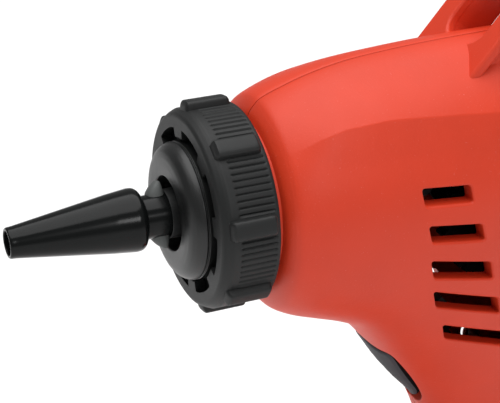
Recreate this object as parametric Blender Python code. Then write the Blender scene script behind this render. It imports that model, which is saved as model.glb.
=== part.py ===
"""A cordless hot-melt glue gun at rest, as separate solids. Lengths are in millimetres in the gun's own
frame: x forward along the nozzle axis from the front face of the union collar, y to the left, z up from
the nozzle axis. solid() turns them into metres, standing on the battery's flat bottom."""

import math

import bmesh
import bpy
from mathutils import Matrix, Vector
from mathutils.bvhtree import BVHTree

GAP = 0.3
TIP_X = 50.4
REAR_X = -154.2
BASE_Z = -188.0
PARTING = GAP / 2
WALL = 2.8

COLLAR_FACE_R = 27.0
COLLAR_SIDE_R = 28.2
COLLAR_LOBE_R = 30.4
COLLAR_LENGTH = 16.5
COLLAR_HOLE_R = 20.3
SPIGOT_R = 24.2
LOBES = 8
LOBE_TURN = math.radians(-11)
LOBE_HALF = math.radians(7)
SLOT_R = 23.2
SLOT_HALF = math.radians(15.5)
DISC_R = 19.4
DISC_FACE_X = 5.2
RECESS_R = 10.5
RECESS_X = -1.2
NECK_R = 6.1
NECK_BORE_R = 4.4
SLEEVE_BULGE_R = 8.85
LUG_TURN = math.radians(-17)
LUG_R = 9.5
SOCKET_R = 8.4
CHAMBER_R = 8.2
STICK_R = 5.6
INSULATOR_R = 14.2

ROLLER_X = -95.0
ROLLER_R = 7.0
ROLLER_Z = -(STICK_R + GAP + ROLLER_R)
IDLER_R = 6.4
IDLER_Z = STICK_R + GAP + IDLER_R
ARM_X = -106.0
ARM_Z = IDLER_Z + 4.7
ROOF_Z = 38.8
GEAR_TEETH = 40
PINION_TEETH = 10
GEAR_MODULE = 1.0
GEAR_DISTANCE = (GEAR_TEETH + PINION_TEETH) * GEAR_MODULE / 2 + 0.1
MOTOR_ANGLE = math.radians(224)
MOTOR_X = ROLLER_X + GEAR_DISTANCE * math.cos(MOTOR_ANGLE)
MOTOR_Z = ROLLER_Z + GEAR_DISTANCE * math.sin(MOTOR_ANGLE)
MOTOR_R = 11.0

TRIGGER_C = Vector((-62.6, 0.0, -61.0))
TRIGGER_T = Vector((-0.635, 0.0, -0.7725)).normalized()
TRIGGER_N = Vector((0.7725, 0.0, -0.635)).normalized()
TRIGGER_PIVOT = (-12.2, -4.6)
TRIGGER_DEPTH = 11.0
TRIGGER_PROUD = 2.0
TRIGGER_OUTLINE = (
    (-12.5, 1.2),
    (-9.2, 3.6),
    (-6.6, 6.4),
    (-5.4, 9.4),
    (-3.2, 9.9),
    (1.0, 9.0),
    (8.0, 7.7),
    (13.0, 7.1),
    (18.0, 6.6),
    (21.8, 4.8),
    (23.0, 2.0),
)
KNUCKLE_R = 2.4

FOOT_Z = -163.0
FOOT_HALF = 35.0
PACK_FRONT = -54.5
PACK_REAR = -152.0
CELL_R = 8.9
CELL_PITCH = 2 * CELL_R + 0.2

LOOP_LEAN = math.radians(48.6)
LOOP_BASE = Vector((-80.0, 0.0, 33.5))
LOOP_HALF = 16.2
LOOP_THICK = 14.0
LOOP_PLATE = 3.4
LOOP_STEP = 3.0
LOOP_TALL = 41.0
LOOP_HOLE_R = 8.6

# Each skin station: front or lower point (x, z), rear or upper point (x, z), half width, and how square
# the section is at its upper and at its lower end.
STATIONS = (
    ((-5.0, -24.2), (-5.0, 24.2), 24.2, 2.0, 2.0),
    ((-16.6, -24.2), (-16.6, 24.2), 24.2, 2.0, 2.0),
    ((-17.0, -26.6), (-17.0, 25.0), 25.0, 2.0, 2.0),
    ((-18.0, -28.8), (-18.0, 26.3), 26.2, 2.0, 2.0),
    ((-20.0, -31.0), (-20.0, 28.0), 27.8, 2.0, 2.0),
    ((-23.0, -33.3), (-22.8, 29.8), 29.3, 2.0, 2.05),
    ((-28.0, -35.9), (-28.5, 32.0), 30.5, 2.0, 2.1),
    ((-35.0, -38.4), (-37.0, 34.6), 31.2, 1.92, 2.15),
    ((-42.0, -40.9), (-48.0, 36.8), 31.6, 1.86, 2.2),
    ((-48.0, -44.0), (-61.0, 38.0), 31.8, 1.83, 2.2),
    ((-51.5, -47.4), (-76.0, 38.8), 31.8, 1.83, 2.2),
    ((-55.5, -52.3), (-94.0, 39.2), 31.6, 1.84, 2.2),
    ((-60.0, -57.9), (-112.0, 38.9), 31.0, 1.94, 2.2),
    ((-64.7, -63.7), (-128.0, 37.2), 30.0, 1.98, 2.2),
    ((-69.2, -69.5), (-141.0, 32.6), 28.6, 2.05, 2.2),
    ((-72.8, -75.0), (-149.0, 23.6), 26.8, 2.2, 2.25),
    ((-75.8, -81.0), (-152.4, 11.0), 24.8, 2.35, 2.3),
    ((-78.4, -87.5), (-152.4, -4.0), 22.8, 2.45, 2.35),
    ((-80.8, -94.5), (-148.4, -20.0), 21.0, 2.55, 2.4),
    ((-83.0, -102.0), (-142.0, -38.0), 19.5, 2.5, 2.45),
    ((-85.0, -110.0), (-136.6, -58.0), 18.6, 2.5, 2.5),
    ((-87.0, -119.0), (-133.6, -80.0), 18.2, 2.5, 2.5),
    ((-89.0, -128.0), (-133.6, -101.0), 18.4, 2.5, 2.5),
    ((-90.6, -136.5), (-135.6, -119.0), 19.2, 2.6, 2.6),
    ((-90.6, -143.5), (-139.0, -134.0), 21.0, 2.8, 2.8),
    ((-82.0, -148.8), (-144.0, -143.5), 26.5, 3.4, 3.4),
    ((-66.0, -151.8), (-149.4, -150.4), 33.4, 5.0, 5.0),
    ((-62.0, -154.4), (-151.6, -154.0), 34.7, 6.0, 6.0),
    ((-61.5, FOOT_Z), (-152.0, FOOT_Z), FOOT_HALF, 6.5, 6.5),
)
LAST_HOLLOW = 23
HALF_STEPS = 12

# Each louvre: middle x, middle z, length, height, slope in degrees.
VENTS = (
    (-65.6, 5.3, 15.8, 5.1, 6.0),
    (-68.7, -6.5, 17.6, 5.3, 8.7),
    (-71.9, -19.2, 20.6, 6.0, 12.8),
    (-75.8, -31.8, 23.8, 6.0, 18.2),
    (-83.6, -46.9, 27.0, 5.9, 19.3),
)

# Each clamshell screw: (x, z).
SCREWS = (
    (-31.0, 24.0),
    (-35.0, -26.0),
    (-66.0, 28.0),
    (-122.0, 27.0),
    (-136.4, -18.3),
    (-106.0, -72.0),
    (-108.0, -112.0),
)
BOSS_R = 3.4


def mat(name, colour, roughness, metallic=0.0):
    made = bpy.data.materials.new(name)
    made.use_nodes = True
    shader = made.node_tree.nodes["Principled BSDF"]
    shader.inputs["Base Color"].default_value = (*colour, 1)
    shader.inputs["Roughness"].default_value = roughness
    shader.inputs["Metallic"].default_value = metallic
    made.diffuse_color = (*colour, 1)
    return made


def clear():
    for obj in list(bpy.data.objects):
        bpy.data.objects.remove(obj)


def placed(point):
    """A point of the gun's frame, in metres in the world."""
    x, y, z = point
    return Vector(((x - (TIP_X + REAR_X) / 2) / 1000, y / 1000, (z - BASE_Z) / 1000))


def solid(name, bm, look, pivot=(0, 0, 0), smooth=True):
    """Makes the object, with its origin at pivot."""
    bmesh.ops.remove_doubles(bm, verts=bm.verts, dist=1e-4)
    bmesh.ops.recalc_face_normals(bm, faces=bm.faces)
    origin = placed(pivot)
    for vert in bm.verts:
        vert.co = placed(vert.co) - origin
    for face in bm.faces:
        face.smooth = smooth
    data = bpy.data.meshes.new(name)
    bm.to_mesh(data)
    bm.free()
    obj = bpy.data.objects.new(name, data)
    obj.location = origin
    bpy.context.scene.collection.objects.link(obj)
    if look:
        data.materials.append(look)
    if smooth:
        data.set_sharp_from_angle(angle=math.radians(35))
    return obj


def helper(name, bm, pivot=(0, 0, 0)):
    obj = solid(name, bm, None, pivot, False)
    obj.hide_render = True
    obj.display_type = "WIRE"
    return obj


def combine(target, operation, other, self_overlap=False):
    modifier = target.modifiers.new(operation.lower(), "BOOLEAN")
    modifier.operation = operation
    modifier.solver = "EXACT"
    modifier.use_self = self_overlap
    modifier.object = other
    return target


def join(*parts):
    """One bmesh that holds all of these."""
    whole = bmesh.new()
    for part in parts:
        data = bpy.data.meshes.new("joined")
        part.to_mesh(data)
        part.free()
        whole.from_mesh(data)
        bpy.data.meshes.remove(data)
    return whole


def skin(rings, closed_rings=True, caps=True, loop=False):
    """A surface through rings of points that match one to one."""
    bm = bmesh.new()
    rows = [[bm.verts.new(point) for point in ring] for ring in rings]
    pairs = list(zip(rows, rows[1:]))
    if loop:
        pairs.append((rows[-1], rows[0]))
    for low, high in pairs:
        count = len(low)
        for i in range(count if closed_rings else count - 1):
            k = (i + 1) % count
            bm.faces.new((low[i], low[k], high[k], high[i]))
    if caps and not loop:
        bm.faces.new(reversed(rows[0]))
        bm.faces.new(rows[-1])
    return bm


def three_sided(bm):
    """Splits every face that isn't flat into triangles, so that a Boolean cuts it cleanly."""
    bmesh.ops.recalc_face_normals(bm, faces=bm.faces)
    bmesh.ops.triangulate(bm, faces=[face for face in bm.faces if len(face.verts) == 4])
    return bm


def turn(profile, centre=(0, 0, 0), axis="X", segments=32, phase=0.0):
    """Turns a closed outline of (along, radius) points round an axis through centre."""
    rings = []
    for i in range(segments):
        angle = phase + math.tau * i / segments
        ring = []
        for along, radius in profile:
            across = radius * math.sin(angle)
            upward = radius * math.cos(angle)
            if axis == "X":
                local = (along, across, upward)
            elif axis == "Y":
                local = (across, along, upward)
            else:
                local = (across, upward, along)
            ring.append(Vector(local) + Vector(centre))
        rings.append(ring)
    bm = skin(rings, loop=True)
    bmesh.ops.remove_doubles(bm, verts=bm.verts, dist=1e-5)
    bmesh.ops.dissolve_degenerate(bm, edges=bm.edges, dist=1e-5)
    return bm


def rod(start, end, radius, centre=(0, 0, 0), axis="X", segments=24, edge=0.0):
    if edge:
        outline = [(start, 0), (start, radius - edge), (start + edge, radius)]
        outline += [(end - edge, radius), (end, radius - edge), (end, 0)]
    else:
        outline = [(start, 0), (start, radius), (end, radius), (end, 0)]
    return turn(outline, centre, axis, segments)


def tube(start, end, outer, inner, centre=(0, 0, 0), axis="X", segments=24):
    outline = [(start, inner), (start, outer), (end, outer), (end, inner)]
    return turn(outline, centre, axis, segments)


def slab(outline, low, high, axis="Y"):
    """Extrudes an outline of (x, z) points along y, or of (x, y) along z, or of (y, z) along x."""
    if axis == "Y":
        rings = [[(a, level, b) for a, b in outline] for level in (low, high)]
    elif axis == "Z":
        rings = [[(a, b, level) for a, b in outline] for level in (low, high)]
    else:
        rings = [[(level, a, b) for a, b in outline] for level in (low, high)]
    return skin(rings)


def block(x0, x1, y0, y1, z0, z1, edge=0.0):
    bm = slab([(x0, z0), (x1, z0), (x1, z1), (x0, z1)], y0, y1)
    if edge:
        bmesh.ops.recalc_face_normals(bm, faces=bm.faces)
        bmesh.ops.bevel(bm, geom=bm.edges[:], offset=edge, segments=1, affect="EDGES")
    return bm


def rounded(length, height, radius, steps=4):
    """A rounded rectangle about the origin."""
    points = []
    for sx, sy, start in ((1, 1, 0), (-1, 1, 90), (-1, -1, 180), (1, -1, 270)):
        for i in range(steps + 1):
            angle = math.radians(start + 90 * i / steps)
            x = sx * (length / 2 - radius) + radius * math.cos(angle)
            y = sy * (height / 2 - radius) + radius * math.sin(angle)
            points.append((x, y))
    return points


def turned_outline(points, middle, degrees):
    c = math.cos(math.radians(degrees))
    s = math.sin(math.radians(degrees))
    return [(middle[0] + x * c - y * s, middle[1] + x * s + y * c) for x, y in points]


def gear_outline(teeth, module, phase, centre):
    """Trapezoid teeth with room for backlash."""
    pitch = teeth * module / 2
    root = pitch - 1.2 * module
    tip = pitch + 0.85 * module
    step = math.tau / teeth
    points = []
    for i in range(teeth):
        middle = phase + step * i
        for radius, share in ((root, -0.36), (tip, -0.13), (tip, 0.13), (root, 0.36)):
            angle = middle + share * step
            points.append((centre[0] + radius * math.cos(angle), centre[1] + radius * math.sin(angle)))
    return points


def spring(start, end, radius, wire, turns, centre, direction, sides=5, per_turn=9):
    """A coil along a direction, from start to end, with flat ends closed off by caps."""
    along = Vector(direction).normalized()
    side = along.orthogonal().normalized()
    other = along.cross(side)
    total = turns * per_turn
    rings = []
    for i in range(total + 1):
        angle = math.tau * i / per_turn
        outward = side * math.cos(angle) + other * math.sin(angle)
        level = start + wire + (end - start - 2 * wire) * i / total
        middle = Vector(centre) + along * level + outward * radius
        ring = []
        for k in range(sides):
            around = math.tau * k / sides
            ring.append(middle + outward * wire * math.cos(around) + along * wire * math.sin(around))
        rings.append(ring)
    return skin(rings)


def section(station, inset, steps, full):
    """Points of one skin section from its upper end round the left side, and back up if full."""
    (low_x, low_z), (high_x, high_z), half, upper, lower = station
    low = Vector((low_x, 0, low_z))
    high = Vector((high_x, 0, high_z))
    along = (high - low).normalized()
    reach = (high - low).length / 2 - inset
    middle = (high + low) / 2
    width = half - inset
    points = []
    for i in range(steps + 1):
        angle = math.pi * i / steps
        power = upper if angle < math.pi / 2 else lower
        rise = math.copysign(abs(math.cos(angle)) ** (2 / power), math.cos(angle))
        across = abs(math.sin(angle)) ** (2 / power) if 0 < i < steps else 0.0
        points.append(middle + along * reach * rise + Vector((0, width * across, 0)))
    if full:
        points += [Vector((p.x, -p.y, p.z)) for p in reversed(points[1:-1])]
    return points


def whole_skin(inset=0.0, first=0, last=len(STATIONS), push=(0, 0, 0)):
    """The gun's outer form as one closed solid, set in or pushed over if asked."""
    shift = Vector(push)
    rings = []
    for station in STATIONS[first:last]:
        rings.append([point + shift for point in section(station, inset, HALF_STEPS, True)])
    return three_sided(skin(rings))


def half_shell(side):
    """One thick half of the form: outer face, inner face, and the flat parting face between them."""
    bm = bmesh.new()

    def row(station, inset):
        made = []
        for point in section(station, inset, HALF_STEPS, False):
            made.append(bm.verts.new((point.x, side * max(PARTING, point.y), point.z)))
        return made

    outer = [row(station, 0.0) for station in STATIONS]
    inner = [row(station, WALL) for station in STATIONS[: LAST_HOLLOW + 1]]
    for low, high in list(zip(outer, outer[1:])) + list(zip(inner, inner[1:])):
        for i in range(HALF_STEPS):
            bm.faces.new((low[i], low[i + 1], high[i + 1], high[i]))
    for i in range(LAST_HOLLOW):
        for end in (0, -1):
            bm.faces.new((outer[i][end], outer[i + 1][end], inner[i + 1][end], inner[i][end]))
    for i in range(HALF_STEPS):
        bm.faces.new((outer[0][i], outer[0][i + 1], inner[0][i + 1], inner[0][i]))
    k = LAST_HOLLOW
    bm.faces.new(inner[k])
    bm.faces.new((outer[k][0], inner[k][0], inner[k][-1], outer[k][-1], outer[k + 1][-1], outer[k + 1][0]))
    for low, high in zip(outer[k + 1 :], outer[k + 2 :]):
        bm.faces.new((low[0], high[0], high[-1], low[-1]))
    bm.faces.new(outer[-1])
    return three_sided(bm)


def side_of_skin(x, z, side):
    """How far out the skin is, to one side, at a place in the side view."""
    bm = whole_skin()
    bmesh.ops.recalc_face_normals(bm, faces=bm.faces)
    tree = BVHTree.FromBMesh(bm)
    hit = tree.ray_cast(Vector((x, side * 90, z)), Vector((0, -side, 0)))[0]
    bm.free()
    return abs(hit.y)


def trigger_point(t, n, y=0.0):
    return TRIGGER_C + TRIGGER_T * t + TRIGGER_N * n + Vector((0, y, 0))


def trigger_prism(grow, deep, out):
    """The trigger's outline seen from in front, swept along the direction it faces."""
    points = []
    for t, y in TRIGGER_OUTLINE:
        points.append((t + (grow * 2.2 if t > 0 else -grow), y + grow))
    points += [(t, -y) for t, y in reversed(points)]
    rings = []
    for level in (-deep, out):
        rings.append([trigger_point(t, level, y) for t, y in points])
    return skin(rings)


def loop_plane(across, up, back):
    """A point on the leaning hanging loop: across it, up its slope, and back through its thickness."""
    slope = Vector((-math.cos(LOOP_LEAN), 0, math.sin(LOOP_LEAN)))
    behind = Vector((-math.sin(LOOP_LEAN), 0, -math.cos(LOOP_LEAN)))
    return LOOP_BASE + slope * up + behind * back + Vector((0, across, 0))


def loop_outline(half):
    """The left half of the loop as (across, up) points, with its hole, from the crown up to its top."""
    top = LOOP_TALL - LOOP_HALF
    outline = [(half, -8.0), (half, top)]
    for i in range(1, 7):
        angle = math.radians(90 * i / 6)
        outline.append((half * math.cos(angle), top + half * math.sin(angle)))
    for i in range(0, 7):
        angle = math.radians(90 - 90 * i / 6)
        outline.append((LOOP_HOLE_R * math.cos(angle), top + LOOP_HOLE_R * math.sin(angle)))
    for i in range(0, 6):
        angle = math.radians(90 * i / 5)
        outline.append((LOOP_HOLE_R - 6.0 + 6.0 * math.cos(angle), 12.0 - 6.0 * math.sin(angle)))
    return outline + [(0.0, 6.0), (0.0, -8.0)]


def loop_half(side):
    """The half of the hanging loop that belongs to one shell: a front plate on a narrower, deeper ring."""
    narrow = LOOP_HALF - LOOP_STEP
    levels = ((0.0, LOOP_HALF), (LOOP_PLATE, LOOP_HALF), (LOOP_PLATE + 0.1, narrow), (LOOP_THICK, narrow))
    rings = []
    for back, half in levels:
        rings.append([loop_plane(side * max(PARTING, y), up, back) for y, up in loop_outline(half)])
    return skin(rings)


def inside_pieces(side):
    """Ribs and screw bosses of one half, before they are trimmed to the inside of the skin."""
    low = PARTING if side > 0 else -60.0
    high = 60.0 if side > 0 else -PARTING
    parts = []
    for x, z in SCREWS:
        parts.append(rod(low, high, BOSS_R, (x, 0, z), "Y", 10))
    parts.append(block(-27.6, -24.6, low, high, -21.0, 20.0))
    parts.append(block(-57.0, -54.0, low, high, -40.0, 40.0))
    parts.append(block(-72.0, -69.0, low, high, -26.0, 23.0))
    return join(*parts)


def trigger_block(t0, t1, n0, n1, low, high):
    """A block set square to the way the trigger faces."""
    corners = ((t0, n0), (t1, n0), (t1, n1), (t0, n1))
    return skin([[trigger_point(t, n, y) for t, n in corners] for y in (low, high)])


def plate_pads(side):
    """Pads that reach from the wall to the feed frame's side plate, and the cradle under the motor."""
    inner = 10.3 * side
    low, high = sorted((inner, 60.0 * side))
    parts = [block(-84.0, -80.4, low, high, 12.0, 20.0), block(-109.6, -106.0, low, high, 12.0, 20.0)]
    low, high = sorted((PARTING * side, 60.0 * side))
    parts.append(block(MOTOR_X - 6, MOTOR_X + 6, low, high, MOTOR_Z - MOTOR_R - 5, MOTOR_Z - MOTOR_R - 0.6))
    parts.append(block(-150.0, -143.4, low, high, -12.0, 12.0))
    parts.append(trigger_block(-2.0, 10.0, -29.0, -26.3, low, high))
    parts.append(trigger_block(10.6, 16.6, -25.0, -22.3, low, high))
    return join(*parts)


def housing_cuts(side):
    """All that is cut from one half: louvres, the trigger's opening, screw holes and seats."""
    low, high = sorted((14.0 * side, 60.0 * side))
    parts = []
    for x, z, length, height, slope in VENTS:
        inside = rounded(length - 1.2, height - 1.2, 0.8, 2)
        outline = turned_outline(inside, (x, z), slope)
        parts.append(slab(outline, low, high))
    return join(*parts)


def bores(side):
    """Round clearances for what each half holds."""
    parts = [turn([(-60, 0), (-60, INSULATOR_R + GAP), (-20, INSULATOR_R + GAP), (-20, 0)], segments=24)]
    parts.append(rod(-73.0, -68.0, 9.3, segments=20))
    parts.append(rod(-170.0, -142.0, 9.3, segments=24))
    wide = MOTOR_R + GAP
    parts.append(rod(-20.6, 8.0, wide, (MOTOR_X, 0, MOTOR_Z), "Y", 24))
    parts.append(rod(-9.3, 9.3, 1.5, trigger_point(*TRIGGER_PIVOT), "Y", 12))
    parts.append(rod(-5.5, 5.5, KNUCKLE_R + 0.5, trigger_point(*TRIGGER_PIVOT), "Y", 16))
    for x, z in SCREWS:
        reach = side_of_skin(x, z, -1)
        if side > 0:
            parts.append(rod(-1.0, 13.0, 1.55, (x, 0, z), "Y", 8))
        else:
            seat = -(reach - 4.0)
            stepped = [(-60.0, 0), (-60.0, 3.1), (seat, 3.1), (seat, 1.7), (1.0, 1.7), (1.0, 0)]
            parts.append(turn(stepped, (x, 0, z), "Y", 10))
    return join(*parts)


def make_housing(side, look):
    name = "housing_left" if side > 0 else "housing_right"
    core = helper(name + "_core", whole_skin(WALL - 0.9, 2, LAST_HOLLOW))
    ribs = helper(name + "_ribs", inside_pieces(side))
    combine(ribs, "INTERSECT", core, True)
    pads = helper(name + "_pads", plate_pads(side))
    combine(pads, "INTERSECT", core, True)
    shell = solid(name, half_shell(side), look)
    combine(shell, "UNION", ribs, True)
    combine(shell, "UNION", pads, True)
    crown = helper(name + "_loop", loop_half(side))
    hollow = helper(name + "_hollow", whole_skin(WALL - 0.6, 2, LAST_HOLLOW))
    combine(crown, "DIFFERENCE", hollow)
    combine(shell, "UNION", crown)
    cuts = [housing_cuts(side), trigger_prism(0.45, 9.0, 12.0), pack_tongue(0.3, -141.0, -40.0), bores(side)]
    if side > 0:
        cuts.append(button_holes())
    combine(shell, "DIFFERENCE", helper(name + "_cuts", join(*cuts)), True)
    return shell


def pack_tongue(grow, rear, front):
    """The battery's T-shaped tongue, seen from the front and swept along x."""
    outline = [(-9.0 - grow, FOOT_Z - 3.0), (9.0 + grow, FOOT_Z - 3.0), (9.0 + grow, -159.0 - grow)]
    outline += [(13.0 + grow, -159.0 - grow), (13.0 + grow, -155.6 + grow)]
    outline += [(-13.0 - grow, -155.6 + grow), (-13.0 - grow, -159.0 - grow), (-9.0 - grow, -159.0 - grow)]
    return slab(outline, rear, front, "X")


BUTTON = (-134.0, 9.0)
LENS = (-128.0, 22.0)


def button_holes():
    parts = [rod(10.0, 60.0, 6.3, (BUTTON[0], 0, BUTTON[1]), "Y", 24)]
    parts.append(rod(10.0, 60.0, 2.3, (LENS[0], 0, LENS[1]), "Y", 16))
    return join(*parts)


def make_collar(look):
    """The union collar: bevelled face, lobed side, and a bore that rides on the housing's spigot."""
    count = 72
    levels = [(-3.0, COLLAR_HOLE_R), (0.0, COLLAR_HOLE_R), (0.0, 26.4), (-0.5, COLLAR_FACE_R)]
    levels += [(-1.9, COLLAR_SIDE_R - 0.1), (-2.7, COLLAR_SIDE_R), (-14.4, COLLAR_SIDE_R)]
    levels += [(-15.1, COLLAR_SIDE_R), (-15.8, COLLAR_SIDE_R)]
    levels += [(-COLLAR_LENGTH, 27.6), (-COLLAR_LENGTH, SPIGOT_R + GAP), (-3.0, SPIGOT_R + GAP)]
    rings = []
    for i in range(count):
        angle = math.tau * i / count
        turned = (angle - LOBE_TURN) % (math.tau / LOBES)
        away = min(turned, math.tau / LOBES - turned)
        share = max(0.0, 1.0 - (away / LOBE_HALF) ** 4)
        lift = (COLLAR_LOBE_R - COLLAR_SIDE_R) * share
        ring = []
        for k, (x, radius) in enumerate(levels):
            full = radius + lift if k in (5, 6) else radius
            ring.append((x, full * math.sin(angle), full * math.cos(angle)))
        rings.append(ring)
    collar = solid("collar_nut", skin(rings, loop=True), look)
    slots = []
    open_r = COLLAR_HOLE_R - 0.8
    for i in range(LOBES):
        middle = LOBE_TURN + math.tau * (i + 0.5) / LOBES
        points = []
        for step in range(5):
            angle = middle + SLOT_HALF * (step / 2 - 1)
            points.append((SLOT_R * math.sin(angle), SLOT_R * math.cos(angle)))
        for step in range(5):
            angle = middle + SLOT_HALF * (1 - step / 2)
            points.append((open_r * math.sin(angle), open_r * math.cos(angle)))
        slots.append(slab(points, -3.6, 2.0, "X"))
    combine(collar, "DIFFERENCE", helper("collar_slots", join(*slots)))
    return collar


def make_nose(black, gloss, brass, steel):
    outline = [(DISC_FACE_X, RECESS_R), (DISC_FACE_X, 15.6), (4.8, 17.3), (3.9, 18.4), (2.4, 19.1)]
    outline += [(1.0, DISC_R), (0.8, 19.0), (0.4, 19.0), (0.2, DISC_R)]
    outline += [(-3.3, DISC_R), (-3.3, 23.9), (-4.7, 23.9)]
    outline += [(-4.7, SOCKET_R + GAP), (RECESS_X, SOCKET_R + GAP), (RECESS_X, RECESS_R)]
    solid("heat_shield_disc", turn(outline, segments=36), black)
    outline = [(6.0, NECK_R + GAP), (6.0, 7.2), (0.2, 7.4), (-0.6, SOCKET_R), (-7.7, SOCKET_R), (-7.7, 4.4)]
    outline += [(-2.3, 4.4), (-2.3, NECK_R + GAP)]
    solid("nose_socket", turn(outline, segments=28), black)
    outline = [(-2.0, NECK_BORE_R), (-2.0, NECK_R), (13.0, NECK_R), (13.2, 8.0), (14.0, SLEEVE_BULGE_R)]
    outline += [(15.6, SLEEVE_BULGE_R), (21.9, 8.15)]
    outline += [(47.2, 4.55), (48.6, 4.35), (50.0, 4.25), (TIP_X, 4.0), (TIP_X, 3.3)]
    outline += [(44.0, 3.3), (18.0, 6.4), (14.6, 6.4), (14.0, NECK_BORE_R)]
    sleeve = solid("nozzle_sleeve", turn(outline, segments=28), gloss)
    for sign in (1, -1):
        low = NECK_R - 0.9
        outline = [(6.4, low), (6.6, LUG_R - 1.0), (7.1, LUG_R), (7.7, LUG_R)]
        outline += [(8.6, LUG_R - 1.2), (10.4, low)]
        lug = slab(outline, -2.3, 2.3)
        angle = LUG_TURN if sign > 0 else LUG_TURN + math.pi
        bmesh.ops.transform(lug, matrix=Matrix.Rotation(-angle, 4, "X"), verts=lug.verts)
        combine(sleeve, "UNION", helper("lug_%d" % sign, lug))
    inside = helper("neck_bore", rod(2.0, 13.9, NECK_BORE_R, segments=28))
    combine(sleeve, "DIFFERENCE", inside)
    outline = [(-13.0, 2.7), (-13.0, 4.1), (13.0, 4.1), (16.0, 4.9), (20.0, 4.9), (43.0, 2.2), (43.6, 1.7)]
    outline += [(43.6, 1.1), (9.0, 1.1), (7.0, 2.7)]
    solid("nozzle_core", turn(outline, segments=18), brass)
    ball = bmesh.new()
    bmesh.ops.create_uvsphere(ball, u_segments=10, v_segments=6, radius=2.4)
    bmesh.ops.translate(ball, vec=(-9.6, 0, 0), verts=ball.verts)
    solid("check_ball", ball, steel, (-9.6, 0, 0))
    solid("check_spring", spring(-6.2, 6.6, 1.9, 0.3, 5, (0, 0, 0), (1, 0, 0)), steel)


def make_heater(metal, ceramic, steel, fibre, rubber, resin):
    outline = [(-8.0, NECK_BORE_R), (-8.0, CHAMBER_R), (-60.0, CHAMBER_R), (-60.0, STICK_R + GAP)]
    outline += [(-15.0, STICK_R + GAP), (-14.0, NECK_BORE_R)]
    solid("melt_chamber", turn(outline, segments=24), metal)
    for name, sign in (("heater_upper", 1), ("heater_lower", -1)):
        low, high = sorted((sign * (CHAMBER_R + GAP), sign * (CHAMBER_R + GAP + 1.9)))
        solid(name, block(-50.0, -20.0, -5.0, 5.0, low, high), ceramic, smooth=False)
    solid("heater_clip", tube(-41.0, -29.0, 12.7, 12.0), steel)
    solid("insulator_tube", tube(-59.0, -22.0, INSULATOR_R, 13.0), fibre)
    probe = rod(-56.0, -52.0, 1.3, (0, 0, CHAMBER_R + GAP + 1.3), segments=12)
    solid("heat_sensor", probe, resin)
    solid("stick_seal", tube(-74.0, -60.3, 9.0, STICK_R + GAP), rubber)
    solid("glue_stick", rod(-150.0, -15.4, STICK_R, segments=24, edge=0.5), resin)
    outline = [(-144.0, STICK_R + 0.6), (-144.0, 9.0), (-152.8, 9.0), (-152.8, 10.6)]
    outline += [(REAR_X, 10.2), (REAR_X, 7.4), (-152.6, STICK_R + 0.6)]
    solid("inlet_bush", turn(outline, segments=24), rubber)


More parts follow.
